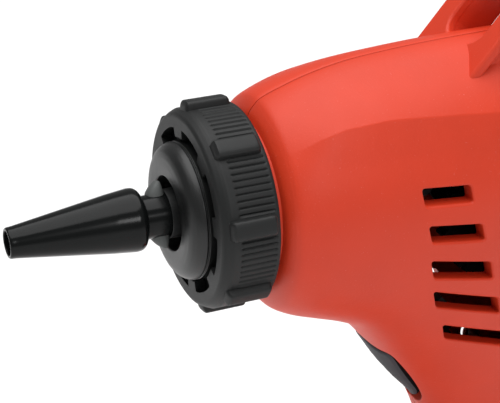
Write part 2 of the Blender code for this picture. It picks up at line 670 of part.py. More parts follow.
def make_feed(steel, plastic, rubber, copper):
    centre = (ROLLER_X, 0, ROLLER_Z)
    outline = [(-13.0, 0), (-13.0, 2.5), (-5.5, 2.5), (-5.5, ROLLER_R), (5.5, ROLLER_R), (5.5, 2.5)]
    outline += [(15.6, 2.5), (15.6, 0)]
    solid("feed_roller", turn(outline, centre, "Y", 24), steel, centre)
    gear = slab(gear_outline(GEAR_TEETH, GEAR_MODULE, MOTOR_ANGLE, (ROLLER_X, ROLLER_Z)), 10.7, 14.7)
    wheel = solid("feed_gear", gear, plastic, centre, smooth=False)
    combine(wheel, "DIFFERENCE", helper("gear_bore", rod(9.0, 17.0, 2.8, centre, "Y", 24)))
    middle = (MOTOR_X, 0, MOTOR_Z)
    outline = [(-20.3, 0), (-20.3, MOTOR_R - 1), (-19.3, MOTOR_R), (6.7, MOTOR_R), (7.7, MOTOR_R - 1)]
    outline += [(7.7, 3.2), (9.4, 3.2), (9.4, 0)]
    motor = solid("feed_motor", turn(outline, middle, "Y", 24), steel, middle)
    combine(motor, "DIFFERENCE", helper("motor_bearing", rod(2.0, 18.0, 1.5, middle, "Y", 12)))
    solid("motor_shaft", rod(2.3, 15.2, 1.2, middle, "Y", 12), steel, middle)
    phase = MOTOR_ANGLE + math.pi + math.pi / PINION_TEETH
    pinion = slab(gear_outline(PINION_TEETH, GEAR_MODULE, phase, (MOTOR_X, MOTOR_Z)), 10.7, 14.7)
    small = solid("motor_pinion", pinion, copper, middle, smooth=False)
    combine(small, "DIFFERENCE", helper("pinion_bore", rod(9.0, 17.0, 1.5, middle, "Y", 12)))
    hub = (ARM_X, 0, ARM_Z)
    for name, sign in (("feed_plate_left", 1), ("feed_plate_right", -1)):
        low, high = sorted((sign * 8.2, sign * 10.0))
        outline = [(-110.0, -9.0), (-104.0, -18.0), (-86.0, -18.0), (-80.0, -9.0)]
        outline += [(-80.0, IDLER_Z + 9.7), (-110.0, IDLER_Z + 9.7)]
        plate = solid(name, slab(outline, low, high), steel, smooth=False)
        holes = [rod(-30, 30, 2.8, centre, "Y", 20), rod(-30, 30, 1.8, hub, "Y", 12)]
        slot = [(ROLLER_X - 3.6, IDLER_Z - 2.9), (ROLLER_X + 3.6, IDLER_Z - 2.9)]
        slot += [(ROLLER_X + 3.6, IDLER_Z + 4.7), (ROLLER_X - 3.6, IDLER_Z + 4.7)]
        holes.append(slab(slot, -30, 30))
        combine(plate, "DIFFERENCE", helper(name + "_holes", join(*holes)))
    axle = (ROLLER_X, 0, IDLER_Z)
    solid("idler_roller", tube(-5.5, 5.5, IDLER_R, 1.8, axle, "Y", 24), rubber, axle)
    solid("idler_axle", rod(-7.9, 7.9, 1.5, axle, "Y", 12), steel, axle)
    outline = [(-109.0, ARM_Z - 3.0), (-103.0, ARM_Z - 3.0), (-99.0, IDLER_Z - 2.5), (-91.6, IDLER_Z - 2.5)]
    outline += [(-91.6, IDLER_Z + 3.3), (-96.0, ARM_Z + 4.0), (-109.0, ARM_Z + 4.0)]
    arm = solid("idler_arm", slab(outline, -7.8, 7.8), plastic, hub, smooth=False)
    reach = IDLER_R + 0.5
    cuts = [block(ROLLER_X - reach + 0.4, -85.0, -5.9, 5.9, IDLER_Z - reach - 1.4, IDLER_Z + reach)]
    combine(arm, "DIFFERENCE", helper("arm_fork", join(*cuts)))
    holes = [rod(-9, 9, 1.8, axle, "Y", 12), rod(-9, 9, 1.8, hub, "Y", 12)]
    combine(arm, "DIFFERENCE", helper("arm_holes", join(*holes)))
    solid("arm_pin", rod(-10.2, 10.2, 1.5, hub, "Y", 12), steel, hub)
    coil = spring(ARM_Z + 4.3, ROOF_Z - WALL, 3.2, 0.5, 4, (-99.5, 0, 0), (0, 0, 1))
    solid("idler_spring", coil, steel)


def make_trigger(black, steel, board):
    trigger = solid("trigger", trigger_prism(0.0, TRIGGER_DEPTH, 10.0), black, trigger_point(*TRIGGER_PIVOT))
    envelope = helper("trigger_face", whole_skin(push=TRIGGER_N * TRIGGER_PROUD))
    combine(trigger, "INTERSECT", envelope)
    pin = trigger_point(*TRIGGER_PIVOT)
    combine(trigger, "UNION", helper("trigger_knuckle", rod(-5.0, 5.0, KNUCKLE_R, pin, "Y", 16)))
    combine(trigger, "DIFFERENCE", helper("trigger_bore", rod(-20, 20, 1.5, pin, "Y", 12)))
    solid("trigger_pin", rod(-9.0, 9.0, 1.2, pin, "Y", 12), steel, pin)
    rings = []
    for level in (-26.0, -14.5):
        corners = ((-2.0, -5), (9.6, -5), (9.6, 5), (-2.0, 5))
        rings.append([trigger_point(t, level, y) for t, y in corners])
    body = solid("trigger_switch", skin(rings), black, smooth=False)
    combine(body, "DIFFERENCE", helper("switch_well", rod(-20.6, -10.0, 1.8, (0, 0, 0), "X", 12)))
    body.modifiers[-1].object.matrix_world = switch_frame()
    plunger = solid("switch_plunger", rod(-18.5, -TRIGGER_DEPTH - 0.3, 1.5, (0, 0, 0), "X", 12), board)
    plunger.matrix_world = switch_frame()
    coil = spring(-22.0, -TRIGGER_DEPTH - 0.3, 2.4, 0.4, 5, (0, 0, 0), (1, 0, 0))
    made = solid("trigger_spring", coil, steel)
    made.matrix_world = spring_frame()


def frame_at(point):
    """A frame whose x points the way the trigger faces."""
    turned = Matrix((TRIGGER_N, Vector((0, 1, 0)), TRIGGER_N.cross(Vector((0, 1, 0))))).transposed().to_4x4()
    return Matrix.Translation(placed(point)) @ turned


def switch_frame():
    return frame_at(trigger_point(4.0, 0.0))


def spring_frame():
    return frame_at(trigger_point(13.6, 0.0))


def make_small_fittings(green, black, lens, steel):
    board = solid("circuit_board", block(-53.7, -27.9, -14.0, 14.0, -17.6, -16.0), green, smooth=False)
    chips = join(block(-48.0, -38.0, -6.0, 2.0, -19.6, -17.3), block(-50.0, -44.0, 6.0, 13.0, -21.5, -17.3))
    combine(board, "UNION", helper("chips", chips))
    reach = side_of_skin(*BUTTON, 1)
    centre = (BUTTON[0], 0, BUTTON[1])
    outline = [(reach - 12.0, 0), (reach - 12.0, 7.6), (reach - 8.0, 7.6), (reach - 8.0, 6.0)]
    outline += [(reach + 0.6, 6.0), (reach + 1.4, 5.2), (reach + 1.4, 0)]
    solid("power_button", turn(outline, centre, "Y", 28), black, (BUTTON[0], reach, BUTTON[1]))
    out = side_of_skin(*LENS, 1)
    centre = (LENS[0], 0, LENS[1])
    solid("indicator_lens", rod(out - 4.0, out + 0.4, 2.0, centre, "Y", 16, 0.3), lens)
    for i, (x, z) in enumerate(SCREWS):
        reach = side_of_skin(x, z, -1)
        head = -(reach - 1.6)
        seat = 3.7 - reach
        outline = [(head, 0), (head, 2.7), (seat, 2.7), (seat, 1.3), (11.5, 1.3), (12.6, 0.4), (12.6, 0)]
        solid("screw_%d" % (i + 1), turn(outline, (x, 0, z), "Y", 10), steel)


def tray(z0, z1, floor_z, wall, floor_thick):
    """An open box of the battery's outline. floor_z says which end is closed."""
    length = PACK_FRONT - PACK_REAR
    middle = (PACK_FRONT + PACK_REAR) / 2

    def ring(inset, z):
        outline = rounded(length - 2 * inset, 2 * FOOT_HALF - 2 * inset, 5.0 - min(inset, 3.0), 3)
        return [(middle + x, y, z) for x, y in outline]

    closed = z0 if floor_z == "low" else z1
    opened = z1 if floor_z == "low" else z0
    toward = 1 if floor_z == "low" else -1
    rings = [ring(1.2, closed), ring(0.0, closed + toward * 1.2), ring(0.0, opened)]
    rings += [ring(wall, opened), ring(wall, closed + toward * floor_thick)]
    return skin(rings)


def make_battery(black, red, cell, copper, steel):
    solid("battery_lower_shell", tray(BASE_Z, -176.2, "low", 2.0, 2.0), black)
    upper = solid("battery_upper_shell", tray(-175.9, FOOT_Z - GAP, "high", 2.0, 2.3), black)
    tongue = helper("tongue", pack_tongue(0.0, -133.0, -66.0))
    combine(upper, "UNION", tongue)
    ledge = block(-59.4, PACK_FRONT - 1.0, -12.0, 12.0, -175.8, -175.2)
    combine(upper, "UNION", helper("latch_ledge", ledge))
    pocket = block(-57.5, -50.0, -10.3, 10.3, -174.4, -166.0)
    combine(upper, "DIFFERENCE", helper("latch_pocket", pocket))
    button = block(-59.2, PACK_FRONT + 1.2, -10.0, 10.0, -172.2, -166.3, 0.6)
    solid("latch_button", button, red, smooth=False)
    low = spring(-174.9, -172.5, 1.1, 0.25, 2, (-57.9, 0, 0), (0, 0, 1))
    solid("latch_spring", low, steel)
    first = PACK_REAR + 2.0 + GAP + CELL_R
    for i in range(5):
        x = first + CELL_PITCH * i
        solid("cell_%d" % (i + 1), rod(-31.0, 31.0, CELL_R, (x, 0, -176.0), "Y", 18, 0.8), cell)
    solid("terminal_block", block(-140.6, -133.4, -8.0, 8.0, -158.6, -155.9), copper, smooth=False)


def main():
    clear()
    red = mat("red_shell_plastic", (0.72, 0.07, 0.035), 0.5)
    black = mat("matte_black_plastic", (0.022, 0.024, 0.025), 0.55)
    gloss = mat("gloss_black_sleeve", (0.008, 0.009, 0.009), 0.22)
    brass = mat("brass", (0.72, 0.52, 0.2), 0.3, 1.0)
    steel = mat("plated_steel", (0.6, 0.6, 0.6), 0.3, 1.0)
    metal = mat("cast_aluminium", (0.7, 0.7, 0.71), 0.42, 1.0)
    ceramic = mat("ceramic_plate", (0.85, 0.83, 0.78), 0.6)
    fibre = mat("mica_fibre", (0.62, 0.55, 0.42), 0.8)
    rubber = mat("silicone_rubber", (0.06, 0.06, 0.065), 0.7)
    resin = mat("glue_resin", (0.88, 0.84, 0.7), 0.4)
    nylon = mat("white_nylon", (0.8, 0.8, 0.76), 0.45)
    green = mat("board_green", (0.02, 0.2, 0.07), 0.5)
    lens = mat("green_lens", (0.1, 0.7, 0.2), 0.15)
    sleeve = mat("cell_wrap", (0.05, 0.2, 0.45), 0.4)
    grey = mat("trigger_dark_grey", (0.05, 0.052, 0.055), 0.5)
    make_housing(1, red)
    make_housing(-1, red)
    make_collar(black)
    make_nose(black, gloss, brass, steel)
    make_heater(metal, ceramic, steel, fibre, rubber, resin)
    make_feed(steel, nylon, rubber, brass)
    make_trigger(grey, steel, nylon)
    make_small_fittings(green, black, lens, steel)
    make_battery(black, red, sleeve, brass, steel)


main()
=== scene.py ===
"""The finished look of a cordless hot-melt glue gun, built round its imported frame. Lengths in the making are
millimetres in the gun's own frame: x forward along the nozzle axis from the collar's front face, y to the
left, z up from the nozzle axis. placed() turns them into metres in the row frame."""

import math

import bmesh
import bpy
from mathutils import Matrix, Vector
from mathutils.bvhtree import BVHTree


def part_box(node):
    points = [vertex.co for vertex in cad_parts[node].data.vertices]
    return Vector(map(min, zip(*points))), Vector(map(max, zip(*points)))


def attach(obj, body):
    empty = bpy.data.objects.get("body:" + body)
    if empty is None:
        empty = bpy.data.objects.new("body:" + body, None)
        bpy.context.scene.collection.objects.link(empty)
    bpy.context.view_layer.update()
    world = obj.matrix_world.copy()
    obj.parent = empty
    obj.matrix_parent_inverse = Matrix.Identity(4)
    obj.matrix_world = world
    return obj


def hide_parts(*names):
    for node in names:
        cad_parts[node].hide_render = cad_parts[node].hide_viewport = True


bl_info = {
    "name": "Cordless glue gun",
    "version": (1, 0, 0),
    "blender": (4, 5, 0),
    "location": "3D View > Sidebar > Glue Gun",
    "description": "Builds the visible pieces and finishes of a cordless hot-melt glue gun",
    "category": "Add Mesh",
}

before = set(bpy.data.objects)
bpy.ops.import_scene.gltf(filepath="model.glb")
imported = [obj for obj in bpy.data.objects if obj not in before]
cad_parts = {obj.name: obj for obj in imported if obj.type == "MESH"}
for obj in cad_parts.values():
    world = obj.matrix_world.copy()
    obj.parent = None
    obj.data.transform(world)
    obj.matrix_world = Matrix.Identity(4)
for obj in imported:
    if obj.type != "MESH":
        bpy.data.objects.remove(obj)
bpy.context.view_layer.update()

GAP = 0.3
PARTING = GAP / 2
TIP_X = 50.4
COLLAR_FACE_R = 27.0
COLLAR_SIDE_R = 28.2
COLLAR_LOBE_R = 30.4
COLLAR_LENGTH = 16.5
COLLAR_HOLE_R = 20.3
SPIGOT_R = 24.2
LOBES = 8
LOBE_TURN = math.radians(-11)
DISC_R = 19.4
DISC_FACE_X = 5.2
RECESS_R = 10.5
RECESS_X = -1.2
NECK_R = 6.1
SLEEVE_BULGE_R = 8.85
LUG_TURN = math.radians(-17)
SOCKET_R = 8.4
STICK_R = 5.6
REAR_X = -154.2
BASE_Z = -188.0
FOOT_Z = -163.0
FOOT_HALF = 35.0
PACK_FRONT = -54.5
PACK_REAR = -152.0

TRIGGER_C = Vector((-62.6, 0.0, -61.0))
TRIGGER_T = Vector((-0.635, 0.0, -0.7725)).normalized()
TRIGGER_N = Vector((0.7725, 0.0, -0.635)).normalized()
TRIGGER_PIVOT = (-12.2, -4.6)
TRIGGER_DEPTH = 11.0
TRIGGER_EDGE = 1.0
TRIGGER_PROUD = 1.5
TRIGGER_GAP = 0.9
TRIGGER_LIP = 0.35
KNUCKLE_R = 2.4
TRIGGER_OUTLINE = (
    (-12.5, 1.2),
    (-9.2, 3.6),
    (-6.6, 6.4),
    (-5.4, 9.4),
    (-3.2, 9.9),
    (1.0, 9.0),
    (8.0, 7.7),
    (13.0, 7.1),
    (17.2, 6.4),
    (19.8, 4.6),
    (20.8, 2.0),
)

LOOP_LEAN = math.radians(48.6)
LOOP_BASE = Vector((-80.0, 0.0, 33.5))
LOOP_HALF = 16.2
LOOP_THICK = 14.0
LOOP_PLATE = 3.4
LOOP_STEP = 3.0
LOOP_TALL = 41.0
LOOP_HOLE_R = 8.6

BUTTON = (-134.0, 9.0)
LENS = (-128.0, 22.0)

# Each skin station: low x, low z, high x, high z, half width, and how square the section is above and below.
STATIONS = (
    (-5.0, -24.2, -5.0, 24.2, 24.2, 2.0, 2.0),
    (-18.6, -24.2, -18.6, 24.2, 24.2, 2.0, 2.0),
    (-18.9, -26.0, -18.9, 25.2, 25.2, 2.0, 2.0),
    (-19.5, -28.2, -19.5, 26.5, 26.4, 2.0, 2.0),
    (-20.8, -30.8, -20.8, 28.1, 27.9, 2.0, 2.0),
    (-23.0, -33.3, -22.8, 29.8, 29.3, 2.0, 2.05),
    (-28.0, -35.9, -28.5, 32.0, 30.5, 2.0, 2.1),
    (-35.0, -38.4, -37.0, 34.6, 31.2, 1.92, 2.15),
    (-42.0, -40.9, -48.0, 36.8, 31.6, 1.86, 2.2),
    (-48.0, -44.0, -61.0, 38.0, 31.8, 1.83, 2.2),
    (-51.5, -47.4, -76.0, 38.8, 31.8, 1.83, 2.2),
    (-55.5, -52.3, -94.0, 39.2, 31.6, 1.84, 2.2),
    (-60.0, -57.9, -112.0, 38.9, 31.0, 1.94, 2.2),
    (-64.7, -63.7, -128.0, 37.2, 30.0, 1.98, 2.2),
    (-69.2, -69.5, -141.0, 32.6, 28.6, 2.05, 2.2),
    (-72.8, -75.0, -149.0, 23.6, 26.8, 2.2, 2.25),
    (-75.8, -81.0, -152.4, 11.0, 24.8, 2.35, 2.3),
    (-78.4, -87.5, -152.4, -4.0, 22.8, 2.45, 2.35),
    (-80.8, -94.5, -148.4, -20.0, 21.0, 2.55, 2.4),
    (-83.0, -102.0, -142.0, -38.0, 19.5, 2.5, 2.45),
    (-85.0, -110.0, -136.6, -58.0, 18.6, 2.5, 2.5),
    (-87.0, -119.0, -133.6, -80.0, 18.2, 2.5, 2.5),
    (-89.0, -128.0, -133.6, -101.0, 18.4, 2.5, 2.5),
    (-90.6, -136.5, -135.6, -119.0, 19.2, 2.6, 2.6),
    (-90.6, -143.5, -139.0, -134.0, 21.0, 2.8, 2.8),
    (-82.0, -148.8, -144.0, -143.5, 26.5, 3.4, 3.4),
    (-66.0, -151.8, -149.4, -150.4, 33.4, 5.0, 5.0),
    (-62.0, -154.4, -151.6, -154.0, 34.7, 6.0, 6.0),
    (-61.5, FOOT_Z, -152.0, FOOT_Z, FOOT_HALF, 6.5, 6.5),
)
FIRST_CURVED = 4
LAST_CURVED = 26
LAST_HOLLOW = 23

# Each louvre: middle x, middle z, length, height, slope in degrees, lean of its short sides.
VENTS = (
    (-65.5, 4.9, 16.6, 6.2, 6.0, 0.16),
    (-68.7, -6.8, 18.6, 6.5, 8.7, 0.26),
    (-71.9, -19.5, 21.6, 7.3, 12.8, 0.28),
    (-75.8, -32.1, 24.7, 7.3, 18.2, 0.33),
    (-83.2, -46.9, 27.6, 7.1, 19.3, 0.35),
)

SCREW_HEAD_R = 2.7
SCREW_SHANK_R = 1.3
SCREW_HEAD_TALL = 2.1
SCREW_SUNK = 3.0

# Each clamshell screw: x, z.
SCREWS = (
    (-31.0, 24.0),
    (-35.0, -26.0),
    (-66.0, 28.0),
    (-122.0, 27.0),
    (-136.4, -18.3),
    (-106.0, -72.0),
    (-108.0, -112.0),
)


def gun_origin():
    """The point of the nozzle axis at the collar's front face, in the row frame."""
    disc_low, disc_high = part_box("heat_shield_disc")
    return Vector((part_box("collar_nut")[1].x, 0.0, (disc_low.z + disc_high.z) / 2))


ORIGIN = gun_origin()


def placed(point):
    return ORIGIN + Vector(point) / 1000


# ---------------------------------------------------------------------------------------------- finishes


class Signal:
    """A shader socket on which Python's operators build Math nodes."""

    def __init__(self, finish, socket):
        self.finish = finish
        self.socket = socket

    def math(self, operation, first, second):
        return self.finish.node("ShaderNodeMath", {"operation": operation}, {0: first, 1: second})[0]

    def __add__(self, other):
        return self.math("ADD", self, other)

    def __radd__(self, other):
        return self.math("ADD", other, self)

    def __sub__(self, other):
        return self.math("SUBTRACT", self, other)

    def __rsub__(self, other):
        return self.math("SUBTRACT", other, self)

    def __mul__(self, other):
        return self.math("MULTIPLY", self, other)

    def __rmul__(self, other):
        return self.math("MULTIPLY", other, self)



class Outputs:
    """A node's outputs as signals, by name or number."""

    def __init__(self, finish, made):
        self.finish = finish
        self.made = made

    def __getitem__(self, key):
        return Signal(self.finish, self.made.outputs[key])


class Finish:
    """One material. Numbers that are the same all over are set on the shader itself."""

    def __init__(self, name, fixed=None):
        self.material = bpy.data.materials.new(name)
        self.material.use_nodes = True
        self.tree = self.material.node_tree
        self.shader = self.tree.nodes["Principled BSDF"]
        for socket, value in (fixed or {}).items():
            self.shader.inputs[socket].default_value = value
        self.place = self.node("ShaderNodeTexCoord")["Object"]

    def node(self, kind, settings=None, sockets=None):
        """Any node: its type, its settings, which are set first, and the values or links of its sockets."""
        made = self.tree.nodes.new(kind)
        for name, value in (settings or {}).items():
            if name == "stops":
                self.set_stops(made.color_ramp, value)
            else:
                setattr(made, name, value)
        for key, value in (sockets or {}).items():
            self.feed(made.inputs[key], value)
        return Outputs(self, made)

    def feed(self, socket, value):
        if isinstance(value, Signal):
            self.tree.links.new(value.socket, socket)
        else:
            socket.default_value = value

    def set_stops(self, ramp, stops):
        while len(ramp.elements) < len(stops):
            ramp.elements.new(0.5)
        for element, (position, level) in zip(ramp.elements, stops):
            element.position = position
            element.color = (level, level, level, 1)

    def noise(self, size_mm, detail=2.0, roughness=0.5, stretch=None):
        """Cloudy noise whose blots are about size_mm across, longer along x where stretch says so."""
        place = self.place
        if stretch:
            settings = {"operation": "MULTIPLY"}
            place = self.node("ShaderNodeVectorMath", settings, {0: place, 1: stretch})[0]
        sockets = {"Vector": place, "Scale": 1000.0 / size_mm, "Detail": detail, "Roughness": roughness}
        return self.node("ShaderNodeTexNoise", None, sockets)["Fac"]

    def cells(self, size_mm):
        sockets = {"Vector": self.place, "Scale": 1000.0 / size_mm}
        return self.node("ShaderNodeTexVoronoi", None, sockets)["Distance"]

    def ramp(self, signal, *stops):
        return self.node("ShaderNodeValToRGB", {"stops": stops}, {"Fac": signal})["Color"]

    def blend(self, factor, first, second):
        settings = {"data_type": "RGBA"}
        sockets = {0: factor, 6: (*first, 1) if isinstance(first, tuple) else first}
        sockets[7] = (*second, 1) if isinstance(second, tuple) else second
        return self.node("ShaderNodeMix", settings, sockets)[2]

    def colour(self, signal):
        self.feed(self.shader.inputs["Base Color"], signal)

    def rough(self, signal):
        self.feed(self.shader.inputs["Roughness"], signal)

    def bump(self, height, distance_mm, strength=1.0):
        sockets = {"Height": height, "Distance": distance_mm / 1000, "Strength": strength}
        normal = self.node("ShaderNodeBump", None, sockets)["Normal"]
        self.feed(self.shader.inputs["Normal"], normal)


def shade(colour, factor):
    return tuple(min(1.0, part * factor) for part in colour)


def moulded(name, colour, roughness, grain_mm, grain_depth, painted_glint_share=0.0, specular=0.5):
    """Textured moulded plastic: spark-eroded grain, faint flow mottling, and pale flecks on the grain that are
    painted highlights.
    """
    finish = Finish(name, {"Specular IOR Level": specular})
    grain = finish.noise(grain_mm, 3.0, 0.65)
    pits = finish.cells(grain_mm * 1.7)
    flow = finish.noise(14.0, 3.0, 0.55)
    handled = finish.noise(5.0, 4.0, 0.6)
    tone = finish.blend(flow, shade(colour, 0.93), shade(colour, 1.06))
    # Painted highlights: a lightened colour on the grain's peaks stands in for glints of light off the
    # textured surface.
    pale = tuple(part + (0.8 - part) * 0.35 for part in colour)
    painted_glint_mask = finish.ramp(grain, (0.66, 0.0), (0.74, 1.0)) * painted_glint_share
    finish.colour(finish.blend(painted_glint_mask, tone, pale))
    finish.rough(roughness - 0.05 + handled * 0.08 + grain * 0.05)
    finish.bump(grain * 0.7 + pits * 0.3, grain_depth)
    return finish.material


def glossy(name, colour, roughness):
    """Polished moulded plastic with slow ripples from the mould and a few hair scratches."""
    finish = Finish(name, {"Specular IOR Level": 0.16})
    ripple = finish.noise(9.0, 1.0, 0.4)
    scratch = finish.ramp(finish.noise(0.5, 2.0, 0.5, (0.06, 1.0, 1.0)), (0.70, 0.0), (0.76, 1.0))
    finish.colour(finish.blend(ripple, shade(colour, 0.8), shade(colour, 1.3)))
    finish.rough(roughness + ripple * 0.05 + scratch * 0.08)
    finish.bump(ripple + scratch * 0.02, 0.06, 0.5)
    return finish.material


def metal(name, colour, roughness, brush=(0.08, 1.0, 1.0)):
    """Plated or turned metal with fine tool lines and dull patches."""
    finish = Finish(name, {"Metallic": 1.0})
    lines = finish.noise(0.35, 3.0, 0.6, brush)
    patch = finish.noise(3.0, 3.0, 0.6)
    finish.colour(finish.blend(patch, shade(colour, 0.8), shade(colour, 1.1)))
    finish.rough(roughness + lines * 0.12 + patch * 0.08)
    finish.bump(lines, 0.01)
    return finish.material


def waxy(name, colour):
    """Milky hot-melt resin: faint clouds and a satin skin."""
    finish = Finish(name, {"Subsurface Weight": 0.25, "Subsurface Scale": 0.004})
    cloud = finish.noise(4.0, 3.0, 0.5)
    finish.colour(finish.blend(cloud, shade(colour, 0.93), shade(colour, 1.05)))
    finish.rough(0.32 + cloud * 0.1)
    finish.bump(finish.noise(2.0, 2.0, 0.5), 0.03)
    return finish.material


def board(name, colour):
    """Solder mask over copper tracks."""
    finish = Finish(name)
    weave = finish.noise(2.4, 0.0, 0.5, (1.0, 0.3, 1.0))
    tracks = finish.ramp(weave, (0.48, 0.0), (0.5, 1.0), (0.54, 1.0), (0.56, 0.0))
    finish.colour(finish.blend(tracks, colour, shade(colour, 2.2)))
    finish.rough(0.35 + finish.noise(1.0) * 0.1)
    finish.bump(tracks, 0.03)
    return finish.material


def clear_lens(name, colour):
    finish = Finish(name, {"Transmission Weight": 0.6, "IOR": 1.49})
    cloud = finish.noise(0.8)
    finish.colour(finish.blend(cloud, shade(colour, 0.8), colour))
    finish.rough(0.12 + cloud * 0.08)
    finish.bump(cloud, 0.01)
    return finish.material


FINISHES = {}


def make_finishes(look):
    red = tuple(look.shell_colour)
    black = tuple(look.black_colour)
    made = {
        "shell": moulded("red_shell_plastic", red, 0.45, look.grain, 0.05, 0.3, 0.3),
        "black": moulded("matte_black_plastic", black, 0.5, 0.3, 0.03, 0.03, 0.3),
        "trigger": moulded("trigger_dark_grey", (0.042, 0.043, 0.048), 0.62, 0.35, 0.04, 0.04, 0.25),
        "pack": moulded("battery_black_plastic", shade(black, 0.85), 0.5, 0.45, 0.06, 0.05),
        "gloss": glossy("gloss_black_sleeve", (0.004, 0.0045, 0.0045), 0.16),
        "disc": moulded("satin_black_disc", shade(black, 0.6), 0.36, 0.3, 0.03, 0.03, 0.45),
        # Painted shade: a near-black copy of the black plastic for parts that sit in shade inside the housing
        # and for the trigger's sides.
        "inside": moulded("black_plastic_painted_shade", shade(black, 0.25), 0.7, 0.5, 0.03, 0.02, 0.1),
        # Painted shade: a near-black steel, so that springs seen through the louvres stay as dark as the shade
        # inside.
        "spring": metal("spring_steel_painted_shade", (0.03, 0.03, 0.032), 0.4),
        # Painted sheen: the lugs are black plastic, and this grey stands in for the front light's sheen on
        # them.
        "lug": moulded("lug_grey_painted_sheen", (0.075, 0.08, 0.078), 0.6, 0.4, 0.03, 0.04),
        "brass": metal("turned_brass", (0.78, 0.56, 0.22), 0.25),
        "steel": metal("plated_steel", (0.62, 0.62, 0.61), 0.26),
        "cast": metal("cast_aluminium", (0.66, 0.66, 0.67), 0.42, (1.0, 1.0, 1.0)),
        "ceramic": moulded("ceramic_plate", (0.82, 0.8, 0.75), 0.6, 0.6, 0.03),
        "mica": moulded("mica_fibre", (0.6, 0.53, 0.4), 0.7, 1.2, 0.12),
        "rubber": moulded("silicone_rubber", (0.045, 0.045, 0.048), 0.62, 0.5, 0.03),
        "resin": waxy("glue_resin", (0.86, 0.82, 0.68)),
        "nylon": moulded("white_nylon", (0.76, 0.76, 0.72), 0.45, 0.8, 0.02),
        "board": board("board_green", (0.02, 0.17, 0.06)),
        "lens": clear_lens("green_lens", (0.12, 0.62, 0.22)),
        "wrap": glossy("cell_wrap", (0.05, 0.19, 0.42), 0.3),
    }
    FINISHES.update(made)


# ------------------------------------------------------------------------------------------------ shapes


def skin(rings, loop=False):
    """A surface through rings of points that match one to one, closed by end faces unless it loops."""
    bm = bmesh.new()
    rows = [[bm.verts.new(point) for point in ring] for ring in rings]
    pairs = list(zip(rows, rows[1:]))
    if loop:
        pairs.append((rows[-1], rows[0]))
    for low, high in pairs:
        count = len(low)
        for i in range(count):
            k = (i + 1) % count
            bm.faces.new((low[i], low[k], high[k], high[i]))
    if not loop:
        bm.faces.new(reversed(rows[0]))
        bm.faces.new(rows[-1])
    return bm


def clean(bm):
    """Merges doubled points, turns the faces outward and splits them into triangles for cutting."""
    bmesh.ops.remove_doubles(bm, verts=bm.verts, dist=1e-4)
    bmesh.ops.dissolve_degenerate(bm, edges=bm.edges, dist=1e-5)
    bmesh.ops.recalc_face_normals(bm, faces=bm.faces)
    bmesh.ops.triangulate(bm, faces=bm.faces)
    return bm


def scratch(bm):
    """A passing object that holds bm."""
    data = bpy.data.meshes.new("scratch")
    clean(bm).to_mesh(data)
    bm.free()
    obj = bpy.data.objects.new("scratch", data)
    bpy.context.scene.collection.objects.link(obj)
    return obj


def combined(bm, operation, *others):
    """bm after a Boolean with each of the others."""
    target = scratch(bm)
    helpers = [scratch(other) for other in others]
    for other in helpers:
        modifier = target.modifiers.new("cut", "BOOLEAN")
        modifier.operation = operation
        modifier.solver = "MANIFOLD"
        modifier.object = other
    bpy.context.view_layer.update()
    made = bmesh.new()
    made.from_object(target, bpy.context.evaluated_depsgraph_get())
    for obj in [target, *helpers]:
        data = obj.data
        bpy.data.objects.remove(obj)
        bpy.data.meshes.remove(data)
    if not made.faces:
        raise RuntimeError("a Boolean left nothing")
    return made


def piece(name, bm, look, body, slot, *nodes, sharp=38.0):
    """Makes bm a visible piece that rides on a body and stands for CAD nodes."""
    bmesh.ops.remove_doubles(bm, verts=bm.verts, dist=1e-4)
    bmesh.ops.recalc_face_normals(bm, faces=bm.faces)
    for vert in bm.verts:
        vert.co = placed(vert.co)
    for face in bm.faces:
        face.smooth = True
    data = bpy.data.meshes.new(name)
    bm.to_mesh(data)
    bm.free()
    data.set_sharp_from_angle(angle=math.radians(sharp))
    data.materials.append(FINISHES[look])
    obj = bpy.data.objects.new(name, data)
    bpy.context.scene.collection.objects.link(obj)
    weighted = obj.modifiers.new("even shading", "WEIGHTED_NORMAL")
    weighted.keep_sharp = True
    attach(obj, body)
    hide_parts(*nodes)
    return obj


def soften(points, radius, steps=3, closed=True):
    """Rounds the corners of an outline."""
    made = []
    count = len(points)
    for i, point in enumerate(points):
        if not closed and i in (0, count - 1):
            made.append(tuple(point))
            continue
        corner = Vector(point)
        before = Vector(points[i - 1]) - corner
        after = Vector(points[(i + 1) % count]) - corner
        reach = min(radius, before.length * 0.45, after.length * 0.45)
        start = corner + before.normalized() * reach
        end = corner + after.normalized() * reach
        for k in range(steps + 1):
            t = k / steps
            made.append(tuple(start * (1 - t) ** 2 + corner * 2 * t * (1 - t) + end * t * t))
    return made


def lathe(outline, centre=(0, 0, 0), axis="X", segments=96):
    """Turns a closed outline of (along, radius) points round an axis through centre."""
    rings = []
    for i in range(segments):
        angle = math.tau * i / segments
        ring = []
        for along, radius in outline:
            across = radius * math.sin(angle)
            upward = radius * math.cos(angle)
            local = (along, across, upward) if axis == "X" else (across, along, upward)
            ring.append(Vector(local) + Vector(centre))
        rings.append(ring)
    return skin(rings, loop=True)


def slab(outline, low, high, axis="Y"):
    """Extrudes an outline of (x, z) points along y, or of (y, z) points along x."""
    if axis == "Y":
        return skin([[(a, level, b) for a, b in outline] for level in (low, high)])
    return skin([[(level, a, b) for a, b in outline] for level in (low, high)])


def bar(x0, x1, y0, y1, z0, z1, edge=0.0):
    bm = slab([(x0, z0), (x1, z0), (x1, z1), (x0, z1)], y0, y1)
    if edge:
        bmesh.ops.recalc_face_normals(bm, faces=bm.faces)
        bmesh.ops.bevel(bm, geom=bm.edges[:], offset=edge, segments=3, profile=0.5, affect="EDGES")
    return bm


